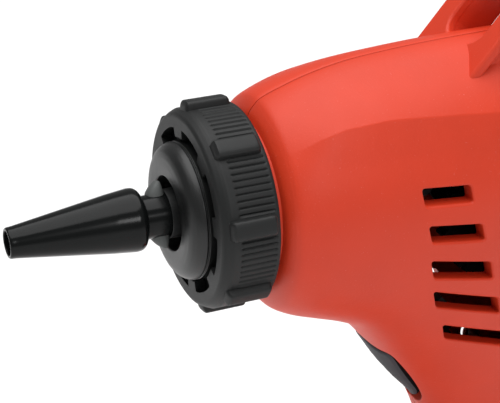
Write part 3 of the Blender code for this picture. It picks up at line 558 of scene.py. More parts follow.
def rounded(length, height, radius, steps=6):
    """A rounded rectangle about the origin."""
    points = []
    for sx, sy, start in ((1, 1, 0), (-1, 1, 90), (-1, -1, 180), (1, -1, 270)):
        for i in range(steps + 1):
            angle = math.radians(start + 90 * i / steps)
            x = sx * (length / 2 - radius) + radius * math.cos(angle)
            y = sy * (height / 2 - radius) + radius * math.sin(angle)
            points.append((x, y))
    return points


def circle(radius, middle=(0, 0), steps=32):
    angles = [math.tau * i / steps for i in range(steps)]
    return [(middle[0] + radius * math.cos(a), middle[1] + radius * math.sin(a)) for a in angles]


def leaning(points, middle, degrees, lean):
    """An outline whose long sides slope by these degrees and whose short sides lean."""
    c = math.cos(math.radians(degrees))
    s = math.sin(math.radians(degrees))
    return [(middle[0] + x * c + y * lean, middle[1] + x * s + y) for x, y in points]


def filled(outline, longest):
    """The outline with points added so that no side is longer than this."""
    made = []
    for i, start in enumerate(outline):
        end = outline[(i + 1) % len(outline)]
        parts = max(1, math.ceil(math.dist(start, end) / longest))
        for k in range(parts):
            t = k / parts
            made.append((start[0] + (end[0] - start[0]) * t, start[1] + (end[1] - start[1]) * t))
    return made


def grown(outline, distance):
    """A convex outline moved outward, or inward if distance is negative."""
    points = [Vector(point) for point in outline]
    following = points[1:] + points[:1]
    area = sum(point.cross(after) for point, after in zip(points, following))
    sign = 1 if area > 0 else -1
    made = []
    for before, point, after in zip(points[-1:] + points, points, following):
        way = (point - before).normalized() + (after - point).normalized()
        outward = Vector((way.y, -way.x)).normalized() * sign
        made.append(tuple(point + outward * distance))
    return made


def eased(low, high, value):
    """0 below low, 1 above high, smooth between. low may be the greater of the two."""
    t = min(1.0, max(0.0, (value - low) / (high - low)))
    return t * t * (3 - 2 * t)


# --------------------------------------------------------------------------------------------- the shell

# The shoulder crease: x, z.
CREASE_LINE = (
    (0.0, 20.0),
    (-20.0, 20.0),
    (-24.4, 21.4),
    (-30.3, 23.1),
    (-38.0, 24.5),
    (-50.0, 25.2),
    (-60.0, 24.6),
    (-72.0, 23.7),
    (-84.0, 22.6),
    (-128.0, 20.0),
    (-170.0, 16.0),
)
CREASE_RISE = 0.06
CREASE_ABOVE = 0.46
CREASE_BELOW = 0.30
SHELL_WALL = 3.6
VENT_DEPTH = 4.6
VENT_CORNER = 0.9
CUT_DEPTH = 9.0
SEAM_EDGE = 0.25


def station(s):
    """The skin station a fraction of the way down the list, on a smooth curve through the listed ones."""
    k = min(int(s), len(STATIONS) - 2)
    t = s - k
    near, far = STATIONS[k], STATIONS[k + 1]
    if not FIRST_CURVED <= k < LAST_CURVED:
        return tuple(a + (b - a) * t for a, b in zip(near, far))
    before, after = STATIONS[k - 1], STATIONS[k + 2]
    if k == FIRST_CURVED:
        before = near
    if k == LAST_CURVED - 1:
        after = far
    made = []
    for a, b, c, d in zip(before, near, far, after):
        made.append(b + 0.5 * t * (c - a + t * (2 * a - 5 * b + 4 * c - d + t * (3 * (b - c) + d - a))))
    return tuple(made)


def fine_steps():
    steps = [float(k) for k in range(FIRST_CURVED)]
    steps += [FIRST_CURVED + i / 6 for i in range((LAST_CURVED - FIRST_CURVED) * 6)]
    steps += [LAST_CURVED + i / 3 for i in range((len(STATIONS) - 1 - LAST_CURVED) * 3 + 1)]
    return steps


def crease_height(x):
    for (near, low), (far, high) in zip(CREASE_LINE, CREASE_LINE[1:]):
        if x >= far:
            return low + (high - low) * (near - x) / (near - far)
    return CREASE_LINE[-1][1]


def section(row, inset=0.0):
    """Points of one section from its upper end round the left side to its lower end."""
    low_x, low_z, high_x, high_z, half, upper, lower = row
    low = Vector((low_x, 0, low_z))
    high = Vector((high_x, 0, high_z))
    along = (high - low).normalized()
    reach = (high - low).length / 2 - inset
    middle = (high + low) / 2
    width = half - inset
    near_x = middle.x + along.x * (24.0 - middle.z) / max(along.z, 0.2)
    crest = min(0.93, max(0.3, (crease_height(near_x) - middle.z) / (max(along.z, 0.2) * reach)))
    bend = math.acos(crest ** (upper / 2))
    crest_at = math.atan2(crest, math.sin(bend) ** (2 / upper))
    crease_x = middle.x + along.x * reach * crest
    share = eased(-21.0, -38.0, crease_x) * eased(-148.0, -128.0, crease_x) * eased(0.93, 0.88, crest)
    angles = [0.004 + (bend - 0.026) * (i / 24) for i in range(24)]
    angles += [bend - 0.022, bend - 0.009, bend, bend + 0.009, bend + 0.022]
    angles += [bend + 0.022 + (math.pi - bend - 0.026) * (i / 46) for i in range(1, 47)]
    points = []
    for angle in angles:
        power = upper if angle < math.pi / 2 else lower
        rise = math.copysign(abs(math.cos(angle)) ** (2 / power), math.cos(angle))
        across = math.sin(angle) ** (2 / power)
        away = math.atan2(rise, across) - crest_at
        tent = max(0.0, 1.0 - abs(away) / (CREASE_ABOVE if away > 0 else CREASE_BELOW)) ** 1.5
        swell = 1.0 + CREASE_RISE * share * tent
        points.append(middle + along * reach * rise * swell + Vector((0, width * across * swell, 0)))
    for end, second in ((0, 1), (-1, -2)):
        inward = (middle - points[end]).normalized() * SEAM_EDGE
        points[second].y = max(points[second].y, PARTING + SEAM_EDGE * 2)
        points[end] = Vector((points[end].x, PARTING, points[end].z)) + inward
    return points


def whole_skin():
    rings = []
    for s in fine_steps():
        left = section(station(s))
        rings.append(left + [Vector((p.x, -p.y, p.z)) for p in reversed(left)])
    return skin(rings)


def skin_tree():
    bm = clean(whole_skin())
    tree = BVHTree.FromBMesh(bm)
    bm.free()
    return tree


def half_shell(side):
    """One thick half of the form: outer face, inner face, and the flat parting face between them."""
    bm = bmesh.new()

    def row(s, inset):
        made = []
        for point in section(station(s), inset):
            made.append(bm.verts.new((point.x, side * point.y, point.z)))
        return made

    steps = fine_steps()
    outer = [row(s, 0.0) for s in steps]
    inner = [row(s, SHELL_WALL) for s in steps if s <= LAST_HOLLOW]
    count = len(outer[0])
    for low, high in list(zip(outer, outer[1:])) + list(zip(inner, inner[1:])):
        for i in range(count - 1):
            bm.faces.new((low[i], low[i + 1], high[i + 1], high[i]))
    for i in range(len(inner) - 1):
        for end in (0, -1):
            bm.faces.new((outer[i][end], outer[i + 1][end], inner[i + 1][end], inner[i][end]))
    for i in range(count - 1):
        bm.faces.new((outer[0][i], outer[0][i + 1], inner[0][i + 1], inner[0][i]))
    k = len(inner) - 1
    bm.faces.new(inner[k])
    bm.faces.new((outer[k][0], inner[k][0], inner[k][-1], outer[k][-1], outer[k + 1][-1], outer[k + 1][0]))
    for low, high in zip(outer[k + 1 :], outer[k + 2 :]):
        bm.faces.new((low[0], high[0], high[-1], low[-1]))
    bm.faces.new(outer[-1])
    return bm


def lipped_cutter(tree, outline, onto, out, lip, deep):
    """A plug that cuts an outline through the skin and leaves a rounded lip round the opening.
    onto() turns an outline point into a point in space, and out is the way the opening faces."""

    def ring(distance, depth):
        made = []
        for a, b in grown(outline, distance):
            start = onto(a, b) + out * 60
            hit = tree.ray_cast(start, -out)[0]
            if hit is None:
                raise RuntimeError("an opening misses the skin")
            made.append(hit - out * depth)
        return made

    rings = [ring(0.0, deep), ring(0.0, lip)]
    for turn in (22, 44, 62, 76):
        angle = math.radians(turn)
        rings.append(ring(lip * (1 - math.cos(angle)), lip * (1 - math.sin(angle))))
    rings.append(ring(lip * 1.1, -1.5))
    return skin(rings)


def vent_frame(tree, outline, onto, out):
    """A block behind the skin that makes the walls of one louvre deep."""
    rings = []
    for depth in (VENT_DEPTH, 2.0):
        ring = []
        for a, b in grown(outline, 1.4):
            ring.append(tree.ray_cast(onto(a, b) + out * 60, -out)[0] - out * depth)
        rings.append(ring)
    return skin(rings)


def trigger_place(t, y):
    return TRIGGER_C + TRIGGER_T * t + Vector((0, y, 0))


def trigger_pin_place():
    return trigger_place(TRIGGER_PIVOT[0], 0) + TRIGGER_N * TRIGGER_PIVOT[1]


def trigger_outline(grow):
    points = [(t + (grow * 2.2 if t > 0 else -grow), y + grow) for t, y in TRIGGER_OUTLINE]
    points += [(t, -y) for t, y in reversed(points)]
    return filled(soften(points, 2.2, 3), 1.4)


def sideways(side):
    return lambda a, b: Vector((a, 0, b)), Vector((0, side, 0))


def loop_place(across, up, back):
    """A point on the leaning hanging loop: across it, up its slope, and back through its thickness."""
    slope = Vector((-math.cos(LOOP_LEAN), 0, math.sin(LOOP_LEAN)))
    behind = Vector((-math.sin(LOOP_LEAN), 0, -math.cos(LOOP_LEAN)))
    return LOOP_BASE + slope * up + behind * back + Vector((0, across, 0))


def loop_part(side, front):
    """The left or right half of the hanging loop: its front plate, or the narrower and deeper ring behind."""
    half = LOOP_HALF if front else LOOP_HALF - LOOP_STEP
    hole = LOOP_HOLE_R if front else LOOP_HOLE_R + 0.25
    levels = (0.0, LOOP_PLATE) if front else (LOOP_PLATE - 1.2, LOOP_THICK)
    top = LOOP_TALL - LOOP_HALF
    outline = [(half, -8.0), (half, top)]
    for i in range(1, 17):
        angle = math.radians(90 * i / 16)
        outline.append((half * math.cos(angle), top + half * math.sin(angle)))
    for i in range(17):
        angle = math.radians(90 - 90 * i / 16)
        outline.append((hole * math.cos(angle), top + hole * math.sin(angle)))
    for i in range(9):
        angle = math.radians(90 * i / 8)
        outline.append((hole - 6.0 + 6.0 * math.cos(angle), 12.0 - 6.0 * math.sin(angle)))
    outline += [(0.0, 6.0), (0.0, -8.0)]
    rings = [[loop_place(side * max(PARTING, y), up, back) for y, up in outline] for back in levels]
    bm = skin(rings)
    bmesh.ops.remove_doubles(bm, verts=bm.verts, dist=1e-4)
    bmesh.ops.recalc_face_normals(bm, faces=bm.faces)
    rim = [edge for edge in bm.edges if edge.calc_face_angle() > 0.9 and not on_seam(edge)]
    bmesh.ops.bevel(bm, geom=rim, offset=1.0 if front else 0.6, segments=4, profile=0.5, affect="EDGES")
    return bm


def on_seam(edge):
    return all(abs(vert.co.y) < PARTING * 2 for vert in edge.verts)


def pack_tongue(grow, rear, front):
    """The battery's T-shaped tongue, seen from the front and swept along x."""
    outline = [(-9.0 - grow, FOOT_Z - 3.0), (9.0 + grow, FOOT_Z - 3.0), (9.0 + grow, -159.0 - grow)]
    outline += [(13.0 + grow, -159.0 - grow), (13.0 + grow, -155.6 + grow)]
    outline += [(-13.0 - grow, -155.6 + grow), (-13.0 - grow, -159.0 - grow), (-9.0 - grow, -159.0 - grow)]
    return slab(outline, rear, front, "X")


def make_shell_half(tree, side, vent_lip):
    onto, out = sideways(side)
    cutters = []
    frames = []
    for x, z, length, height, slope, lean in VENTS:
        trim = vent_lip * 1.5
        outline = rounded(length - trim, height - trim, VENT_CORNER)
        outline = filled(leaning(outline, (x, z), slope, lean), 1.6)
        frames.append(vent_frame(tree, outline, onto, out))
        cutters.append(lipped_cutter(tree, outline, onto, out, vent_lip, CUT_DEPTH))
    opening = trigger_outline(TRIGGER_GAP)
    cutters.append(lipped_cutter(tree, opening, trigger_place, TRIGGER_N, TRIGGER_LIP, CUT_DEPTH))
    wide = KNUCKLE_R + 0.5
    pin = trigger_pin_place()
    cutters.append(lathe([(-5.5, 0), (-5.5, wide), (5.5, wide), (5.5, 0)], pin, "Y", 32))
    cutters.append(pack_tongue(0.3, -141.0, -40.0))
    if side > 0:
        cutters.append(lipped_cutter(tree, circle(6.3, BUTTON), onto, out, 0.6, 10.0))
        cutters.append(lipped_cutter(tree, circle(2.3, LENS, 24), onto, out, 0.3, 10.0))
    else:
        for x, z in SCREWS:
            cutters.append(lipped_cutter(tree, circle(3.1, (x, z)), onto, out, 0.35, 5.6))
    shell = combined(half_shell(side), "UNION", loop_part(side, True), loop_part(side, False), *frames)
    shell = combined(shell, "DIFFERENCE", *cutters)
    name = "left" if side > 0 else "right"
    piece("shell_" + name, shell, "shell", "housing", "red_shell_plastic", "housing_" + name)


# ------------------------------------------------------------------------------------- nose and collar

GROOVES = 8
GROOVE_STEP = math.radians(3.75)
GROOVE_DEPTH = 0.45
GROOVE_SHARE = 0.26
LOBE_HALF = math.radians(5.6)


def collar_angles():
    """Angles round the collar, close together over lobes and grooves."""
    made = []
    for k in range(LOBES):
        middle = LOBE_TURN + math.tau * k / LOBES
        for share in (-1.35, -1.12, -1.0, -0.94, -0.86, -0.74, -0.58, -0.3, 0.0):
            made.append(middle + LOBE_HALF * share)
        for share in (0.3, 0.58, 0.74, 0.86, 0.94, 1.0, 1.12, 1.35):
            made.append(middle + LOBE_HALF * share)
        centre = middle + math.pi / LOBES
        for g in range(GROOVES):
            groove = centre + (g - (GROOVES - 1) / 2) * GROOVE_STEP
            for share in (-0.5, -GROOVE_SHARE, -0.1, 0.0, 0.1, GROOVE_SHARE):
                made.append(groove + GROOVE_STEP * share)
        made.append(centre + GROOVES / 2 * GROOVE_STEP)
    return made


def collar_radius(x, base, angle):
    """The collar's outer radius at a place on its side: lobes stand out, and fine grooves cut in."""
    turned = (angle - LOBE_TURN) % (math.tau / LOBES)
    away = min(turned, math.tau / LOBES - turned)
    ahead = max(0.0, (x + 3.5) / 1.6)
    rear = max(0.0, (-13.6 - x) / 1.5)
    reach = (away / LOBE_HALF) ** 6 + ahead**3 + rear**3
    lobe = max(0.0, 1.0 - reach) ** 0.45
    from_middle = abs(turned - math.pi / LOBES)
    nearest = abs((from_middle / GROOVE_STEP + 0.5) % 1.0 - 0.5)
    inside = from_middle < GROOVE_STEP * GROOVES / 2
    cut = max(0.0, 1.0 - nearest / GROOVE_SHARE) if inside else 0.0
    cut *= eased(-4.6, -5.3, x) * eased(-15.6, -14.9, x)
    return base + (COLLAR_LOBE_R - COLLAR_SIDE_R) * lobe - GROOVE_DEPTH * cut


def slot_outline(middle):
    """One arc slot in the collar's face, as (y, z) points."""
    half = math.radians(15.5)
    points = []
    for radius, start, end in ((23.2, -half, half), (COLLAR_HOLE_R - 1.2, half, -half)):
        for i in range(13):
            angle = middle + start + (end - start) * i / 12
            points.append((radius * math.sin(angle), radius * math.cos(angle)))
    return soften(points, 0.7, 2)


def make_collar():
    front = [(-3.0, COLLAR_HOLE_R), (0.0, COLLAR_HOLE_R), (0.0, 26.2), (-0.5, COLLAR_FACE_R)]
    front = soften(front, 0.5, 3, False)
    outside = [(-0.9, 27.2), (-1.6, 27.65), (-1.9, 27.8), (-2.0, 27.85), (-2.15, 27.9), (-2.4, 28.0)]
    outside += [(x, COLLAR_SIDE_R) for x in (-2.8, -3.2, -3.6, -4.1, -4.6, -4.9, -5.3, -5.8, -8.0, -11.0)]
    outside += [(x, COLLAR_SIDE_R) for x in (-13.2, -13.8, -14.2, -14.6, -14.85, -15.0, -15.1, -15.3, -15.6)]
    outside += [(-15.95, 28.1), (-16.3, 27.9), (-COLLAR_LENGTH, 27.5)]
    inside = [(-COLLAR_LENGTH, SPIGOT_R + GAP), (-3.0, SPIGOT_R + GAP)]
    rings = []
    for angle in collar_angles():
        side = [(x, collar_radius(x, radius, angle)) for x, radius in outside]
        whole = front + side + inside
        rings.append([(x, radius * math.sin(angle), radius * math.cos(angle)) for x, radius in whole])
    slots = []
    for i in range(LOBES):
        middle = LOBE_TURN + math.tau * (i + 0.5) / LOBES
        slots.append(slab(slot_outline(middle), -5.0, 2.0, "X"))
    collar = combined(skin(rings, loop=True), "DIFFERENCE", *slots)
    piece("collar", collar, "black", "collar", "matte_black_plastic", "collar_nut", sharp=32.0)


def make_disc():
    outline = [(DISC_FACE_X, RECESS_R), (DISC_FACE_X, 13.6), (5.0, 15.6), (4.5, 17.0), (3.6, 18.2)]
    outline += [(2.4, 19.0), (1.2, DISC_R), (0.9, DISC_R), (0.8, 19.0), (0.4, 19.0), (0.3, DISC_R)]
    outline += [(-3.3, DISC_R), (-3.3, 23.9), (-4.7, 23.9), (-4.7, SOCKET_R + GAP), (RECESS_X, SOCKET_R + GAP)]
    outline += [(RECESS_X, RECESS_R)]
    disc = lathe(soften(outline, 0.5), segments=128)
    piece("heat_disc", disc, "disc", "housing", "matte_black_plastic", "heat_shield_disc")


def make_socket():
    outline = [(6.0, NECK_R + GAP), (6.0, 6.85), (0.2, 7.1), (-0.6, SOCKET_R), (-7.7, SOCKET_R), (-7.7, 4.4)]
    outline += [(-2.3, 4.4), (-2.3, NECK_R + GAP)]
    socket = lathe(soften(outline, 0.2), segments=96)
    piece("socket_ring", socket, "black", "housing", "matte_black_plastic", "nose_socket")


LUG_END_X = 12.0

# Each level of a bayonet lug: distance from the axis, middle x, half length, half width.
LUG_LEVELS = (
    (5.2, 8.3, 2.75, 2.7),
    (6.6, 8.2, 2.35, 2.6),
    (7.8, 7.85, 1.75, 2.3),
    (8.6, 7.5, 1.25, 1.85),
    (9.15, 7.25, 0.85, 1.4),
    (9.42, 7.15, 0.5, 0.85),
    (9.5, 7.1, 0.2, 0.4),
)


def bayonet_lug(turned):
    """A rounded fin that stands on the neck, long along the gun and narrower toward its top."""
    rings = []
    for radius, middle, half_long, half_wide in LUG_LEVELS:
        ring = []
        for a, b in circle(1.0, steps=36):
            long = math.copysign(abs(a) ** 0.75, a) * half_long
            wide = math.copysign(abs(b) ** 0.75, b) * half_wide
            ring.append(turned @ Vector((middle + long, wide, radius)))
        rings.append(ring)
    return skin(rings)


def make_sleeve():
    outline = [(-2.0, 4.4), (-2.0, NECK_R), (13.0, NECK_R), (13.05, 7.2), (13.5, 8.15), (14.3, 8.7)]
    outline += [(15.6, SLEEVE_BULGE_R)]
    outline += [(21.9, 8.15), (47.2, 4.55), (48.6, 4.35), (50.0, 4.25), (TIP_X, 4.0), (TIP_X, 3.3)]
    outline += [(44.0, 3.3), (18.0, 6.4), (14.6, 6.4), (14.0, 4.4)]
    sleeve = lathe(soften(outline, 0.6), segments=96)
    lugs = []
    for angle in (LUG_TURN, LUG_TURN + math.pi):
        lugs.append(bayonet_lug(Matrix.Rotation(-angle, 4, "X")))
    sleeve = combined(sleeve, "UNION", *lugs)
    bore = lathe([(2.0, 0), (2.0, 4.4), (13.9, 4.4), (13.9, 0)], segments=64)
    sleeve = combined(sleeve, "DIFFERENCE", bore)
    cone = piece("nozzle_cone", sleeve, "gloss", "nozzle", "gloss_black_sleeve", "nozzle_sleeve")
    # The bayonet lugs' faces, above the neck and ahead of LUG_END_X, get the grey painted sheen.
    cone.data.materials.append(FINISHES["lug"])
    for face in cone.data.polygons:
        centre = (face.center - ORIGIN) * 1000
        if math.hypot(centre.y, centre.z) > NECK_R + 0.15 and centre.x < LUG_END_X:
            face.material_index = 1


# ---------------------------------------------------------------------------------- trigger and fittings


def make_trigger(tree):
    """The lever: its face follows the shell and stands a little proud in the middle."""
    outline = trigger_outline(0.0)

    def on_face(t, y, below):
        hit = tree.ray_cast(trigger_place(t, y) + TRIGGER_N * 40, -TRIGGER_N)[0]
        proud = 0.2 + TRIGGER_PROUD * eased(-13.0, 5.0, t) * eased(21.0, 9.0, t)
        return hit + TRIGGER_N * (proud * (1.0 - 0.8 * (y / 10.0) ** 2) - below)

    rings = [[trigger_place(t, y) - TRIGGER_N * TRIGGER_DEPTH for t, y in outline]]
    for turn in (0, 22, 45, 68, 90):
        angle = math.radians(turn)
        inset = grown(outline, -TRIGGER_EDGE * (1 - math.cos(angle)))
        rings.append([on_face(t, y, TRIGGER_EDGE * (1 - math.sin(angle))) for t, y in inset])
    inset = grown(outline, -TRIGGER_EDGE)
    middle = sum(t for t, _ in inset) / len(inset)
    for share in (0.8, 0.6, 0.4, 0.2, 0.05):
        rings.append([on_face(middle + (t - middle) * share, y * share, 0.0) for t, y in inset])
    pin = trigger_pin_place()
    knuckle = lathe([(-5, 0), (-5, KNUCKLE_R), (5, KNUCKLE_R), (5, 0)], pin, "Y", 32)
    trigger = combined(skin(rings), "UNION", knuckle)
    bore = lathe([(-20, 0), (-20, 1.5), (20, 1.5), (20, 0)], pin, "Y", 24)
    trigger = combined(trigger, "DIFFERENCE", bore)
    lever = piece("trigger_lever", trigger, "trigger", "trigger", "trigger_dark_grey", "trigger")
    # Painted shade: faces that do not face out of the shell, the lever's sides and back, get the near-black
    # finish.
    lever.data.materials.append(FINISHES["inside"])
    for face in lever.data.polygons:
        if face.normal.dot(TRIGGER_N) < 0.3:
            face.material_index = 1


def make_screws(tree):
    """Cross-head screws, sunk into the right half."""
    for i, (x, z) in enumerate(SCREWS):
        reach = (tree.ray_cast(Vector((x, -60, z)), Vector((0, 1, 0)))[0]).y
        head = reach + SCREW_SUNK
        seat = head + SCREW_HEAD_TALL
        outline = [(head, 0), (head, 1.5), (head + 0.35, 2.35), (head + 0.9, SCREW_HEAD_R)]
        outline += [(seat, SCREW_HEAD_R), (seat, SCREW_SHANK_R), (11.5, SCREW_SHANK_R)]
        outline += [(12.6, 0.4), (12.6, 0)]
        screw = lathe(outline, (x, 0, z), "Y", 40)
        arms = []
        for length, height in ((3.0, 0.62), (0.62, 3.0)):
            ring = [(a + x, b + z) for a, b in rounded(length, height, 0.12, 2)]
            arms.append(slab(ring, head - 1, head + 1.1))
        screw = combined(screw, "DIFFERENCE", *arms)
        name = "screw_%d" % (i + 1)
        piece("case_" + name, screw, "steel", "housing", "plated_steel", name)


def make_button(tree):
    reach = tree.ray_cast(Vector((BUTTON[0], 60, BUTTON[1])), Vector((0, -1, 0)))[0].y
    outline = [(reach - 12.0, 0), (reach - 12.0, 7.6), (reach - 8.0, 7.6), (reach - 8.0, 6.0)]
    outline += [(reach + 1.2, 6.0), (reach + 1.4, 5.4), (reach + 1.1, 4.9), (reach + 0.9, 3.0)]
    outline += [(reach + 0.8, 0)]
    button = lathe(soften(outline, 0.4), (BUTTON[0], 0, BUTTON[1]), "Y", 64)
    piece("power_cap", button, "black", "power_button", "matte_black_plastic", "power_button")


def make_bush():
    bore = STICK_R + 0.6
    outline = [(-144.0, bore), (-144.0, 9.0), (-152.8, 9.0), (-152.8, 10.6), (REAR_X, 10.2), (REAR_X, 7.4)]
    outline += [(-152.6, bore)]
    piece("inlet_ring", lathe(soften(outline, 0.35)), "rubber", "housing", "silicone_rubber", "inlet_bush")


# ----------------------------------------------------------------------------------------------- battery


def tray(levels, wall, opened, closed):
    """An open box of the battery's outline: outer (z, inset) levels from the closed to the open end."""
    length = PACK_FRONT - PACK_REAR
    middle = (PACK_FRONT + PACK_REAR) / 2

    def ring(z, inset):
        corner = max(1.0, 5.0 - inset * 0.6)
        outline = rounded(length - 2 * inset, 2 * FOOT_HALF - 2 * inset, corner, 8)
        return [(middle + x, y, z) for x, y in outline]

    rings = [ring(z, inset) for z, inset in levels]
    rings += [ring(opened, wall), ring(closed, wall)]
    return skin(rings)


def grip_slots(z0, z1):
    """Upright finger grooves on both long sides of the pack."""
    cutters = []
    for side in (-1, 1):
        for i in range(9):
            x = -124.0 + 5.2 * i
            low, high = sorted((side * (FOOT_HALF - 0.8), side * (FOOT_HALF + 3)))
            cutters.append(bar(x, x + 2.6, low, high, z0, z1, 0.35))
    return cutters


def make_battery():
    levels = [(BASE_Z, 2.4), (BASE_Z + 0.15, 1.5), (BASE_Z + 0.6, 0.7), (BASE_Z + 1.4, 0.15)]
    levels += [(BASE_Z + 2.2, 0.0), (-176.9, 0.0), (-176.4, 0.25), (-176.2, 0.5)]
    lower = tray(levels, 2.0, -176.2, BASE_Z + 2.0)
    piece("pack_tray", lower, "pack", "battery", "matte_black_plastic", "battery_lower_shell")
    top = FOOT_Z - GAP
    levels = [(top, 1.6), (top - 0.12, 1.0), (top - 0.5, 0.4), (top - 1.2, 0.05), (top - 1.8, 0.0)]
    levels += [(-175.2, 0.0), (-175.7, 0.25), (-175.9, 0.5)]
    upper = tray(levels, 2.0, -175.9, top - 2.3)
    ledge = bar(-59.4, PACK_FRONT - 1.0, -12.0, 12.0, -175.8, -175.2)
    upper = combined(upper, "UNION", pack_tongue(0.0, -133.0, -66.0), ledge)
    pocket = bar(-57.5, -50.0, -10.3, 10.3, -174.4, -166.0)
    upper = combined(upper, "DIFFERENCE", pocket, *grip_slots(-174.0, -166.6))
    piece("pack_cover", upper, "pack", "battery", "matte_black_plastic", "battery_upper_shell")
    button = bar(-59.2, PACK_FRONT + 1.2, -10.0, 10.0, -172.2, -166.3, 0.6)
    ribs = [bar(PACK_FRONT + 0.7, PACK_FRONT + 3, -8.0, 8.0, z, z + 0.6) for z in (-168.2, -169.6, -171.0)]
    latch = combined(button, "DIFFERENCE", *ribs)
    piece("latch_key", latch, "shell", "latch", "red_shell_plastic", "latch_button")


# --------------------------------------------------------------------------------- pieces kept from the frame

KEPT = {
    "brass": ("nozzle_core", "motor_pinion", "terminal_block"),
    "steel": (
        "check_ball",
        "check_spring",
        "heater_clip",
        "feed_roller",
        "motor_shaft",
        "idler_axle",
        "arm_pin",
        "trigger_pin",
    ),
    # Springs get the darkened steel that is painted shade.
    "spring": ("idler_spring", "trigger_spring", "latch_spring"),
    "cast": ("melt_chamber",),
    "ceramic": ("heater_upper", "heater_lower"),
    "mica": ("insulator_tube",),
    "rubber": ("stick_seal", "idler_roller"),
    "resin": ("glue_stick", "heat_sensor"),
    "nylon": ("switch_plunger",),
    "board": ("circuit_board",),
    "lens": ("indicator_lens",),
    "wrap": ("cell_1", "cell_2", "cell_3", "cell_4", "cell_5"),
    "black": ("trigger_switch",),
    # Parts seen through the louvres get the near-black finish that is painted shade.
    "inside": ("feed_gear", "idler_arm", "feed_motor", "feed_plate_left", "feed_plate_right"),
}


def dress_kept():
    for look, names in KEPT.items():
        for name in names:
            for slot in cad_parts[name].material_slots:
                slot.material = FINISHES[look]


# ------------------------------------------------------------------------------------------------- stage

CAMERA_AT = (133.9, 348.1, 179.5)
CAMERA_YAW = math.radians(23.8)
CAMERA_PITCH = math.radians(25.4)
CAMERA_LENS = 108.0

# Each light: place, the point it faces, width, share of the overhead power.
LIGHTS = {
    "overhead": ((0.0, -0.1, 2.2), (0.0, 0.0, 0.15), 3.0, 1.0),
    "softbox": ((-0.1, 0.95, 0.68), (0.05, 0.0, 0.19), 0.28, 0.03),
}


def make_camera():
    data = bpy.data.cameras.new("camera")
    data.lens = CAMERA_LENS
    data.sensor_width = 36.0
    data.clip_start = 0.01
    data.clip_end = 20.0
    camera = bpy.data.objects.new("camera", data)
    bpy.context.scene.collection.objects.link(camera)
    back = Vector((math.sin(CAMERA_YAW), math.cos(CAMERA_YAW), 0)) * math.cos(CAMERA_PITCH)
    back.z = math.sin(CAMERA_PITCH)
    camera.rotation_mode = "QUATERNION"
    camera.rotation_quaternion = (-back).to_track_quat("-Z", "Y")
    camera.location = placed(CAMERA_AT)
    bpy.context.scene.camera = camera


def soft_light(name, place, aim, size, power):
    data = bpy.data.lights.new(name, "AREA")
    data.shape = "DISK"
    data.size = size
    data.energy = power
    lamp = bpy.data.objects.new(name, data)
    lamp.location = place
    lamp.rotation_mode = "QUATERNION"
    lamp.rotation_quaternion = (Vector(aim) - Vector(place)).to_track_quat("-Z", "Y")
    bpy.context.scene.collection.objects.link(lamp)


def make_floor(look):
    bm = bmesh.new()
    bmesh.ops.create_grid(bm, x_segments=2, y_segments=2, size=6.0)
    data = bpy.data.meshes.new("floor")
    bm.to_mesh(data)
    bm.free()
    floor = bpy.data.objects.new("floor", data)
    bpy.context.scene.collection.objects.link(floor)
    finish = Finish("pale_floor", {"Specular IOR Level": 0.2})
    cloud = finish.noise(300.0, 2.0, 0.5)
    pale = tuple(look.floor_colour)
    finish.colour(finish.blend(cloud, shade(pale, 0.985), pale))
    finish.rough(0.7 + cloud * 0.1)
    data.materials.append(finish.material)


def make_world(level):
    world = bpy.data.worlds.new("studio")
    world.use_nodes = True
    background = world.node_tree.nodes["Background"]
    background.inputs["Color"].default_value = (1.0, 1.0, 1.0, 1.0)
    background.inputs["Strength"].default_value = level
    bpy.context.scene.world = world


# ----------------------------------------------------------------------------------- properties, operators


class GlueGunSizes(bpy.types.PropertyGroup):
    """Sizes that a user would change."""

    vent_lip: bpy.props.FloatProperty(
        name="Louvre lip",
        description="Radius of the rounded lip of each louvre, in mm",
        default=0.8,
        min=0.3,
        max=1.3,
    )


class GlueGunLook(bpy.types.PropertyGroup):
    """Colours, grain and light that a user would change."""

    shell_colour: bpy.props.FloatVectorProperty(
        name="Shell",
        description="Colour of the clamshell",
        subtype="COLOR",
        default=(0.60, 0.04, 0.012),
        min=0,
        max=1,
    )
    black_colour: bpy.props.FloatVectorProperty(
        name="Black parts",
        description="Colour of the matte black parts",
        subtype="COLOR",
        default=(0.009, 0.0095, 0.0095),
        min=0,
        max=1,
    )
    floor_colour: bpy.props.FloatVectorProperty(
        name="Floor",
        description="Colour of the floor",
        subtype="COLOR",
        default=(0.9, 0.9, 0.9),
        min=0,
        max=1,
    )
    grain: bpy.props.FloatProperty(
        name="Grain", description="Size of the shell's moulded grain, in mm", default=0.5, min=0.1, max=3.0
    )
    world_level: bpy.props.FloatProperty(
        name="Room light", description="Strength of the light from all round", default=0.3, min=0.0
    )
    key_power: bpy.props.FloatProperty(
        name="Overhead light",
        description="Power of the large overhead light, in watts",
        default=70.0,
        min=0.0,
    )


SKIN = {}


class GLUEGUN_OT_finishes(bpy.types.Operator):
    """Make the materials and give them to the pieces kept from the frame"""

    bl_idname = "gluegun.finishes"
    bl_label = "Finishes and Kept Pieces"

    def execute(self, context):
        make_finishes(context.scene.glue_gun_look)
        dress_kept()
        return {"FINISHED"}


class GLUEGUN_OT_shell(bpy.types.Operator):
    """Build both halves of the clamshell with louvres, hanging loop and openings"""

    bl_idname = "gluegun.shell"
    bl_label = "Clamshell"

    def execute(self, context):
        SKIN["tree"] = skin_tree()
        for side in (1, -1):
            make_shell_half(SKIN["tree"], side, context.scene.glue_gun_sizes.vent_lip)
        return {"FINISHED"}


class GLUEGUN_OT_collar(bpy.types.Operator):
    """Build the union collar with its lobes, grooves and face slots"""

    bl_idname = "gluegun.collar"
    bl_label = "Collar"

    def execute(self, context):
        make_collar()
        return {"FINISHED"}


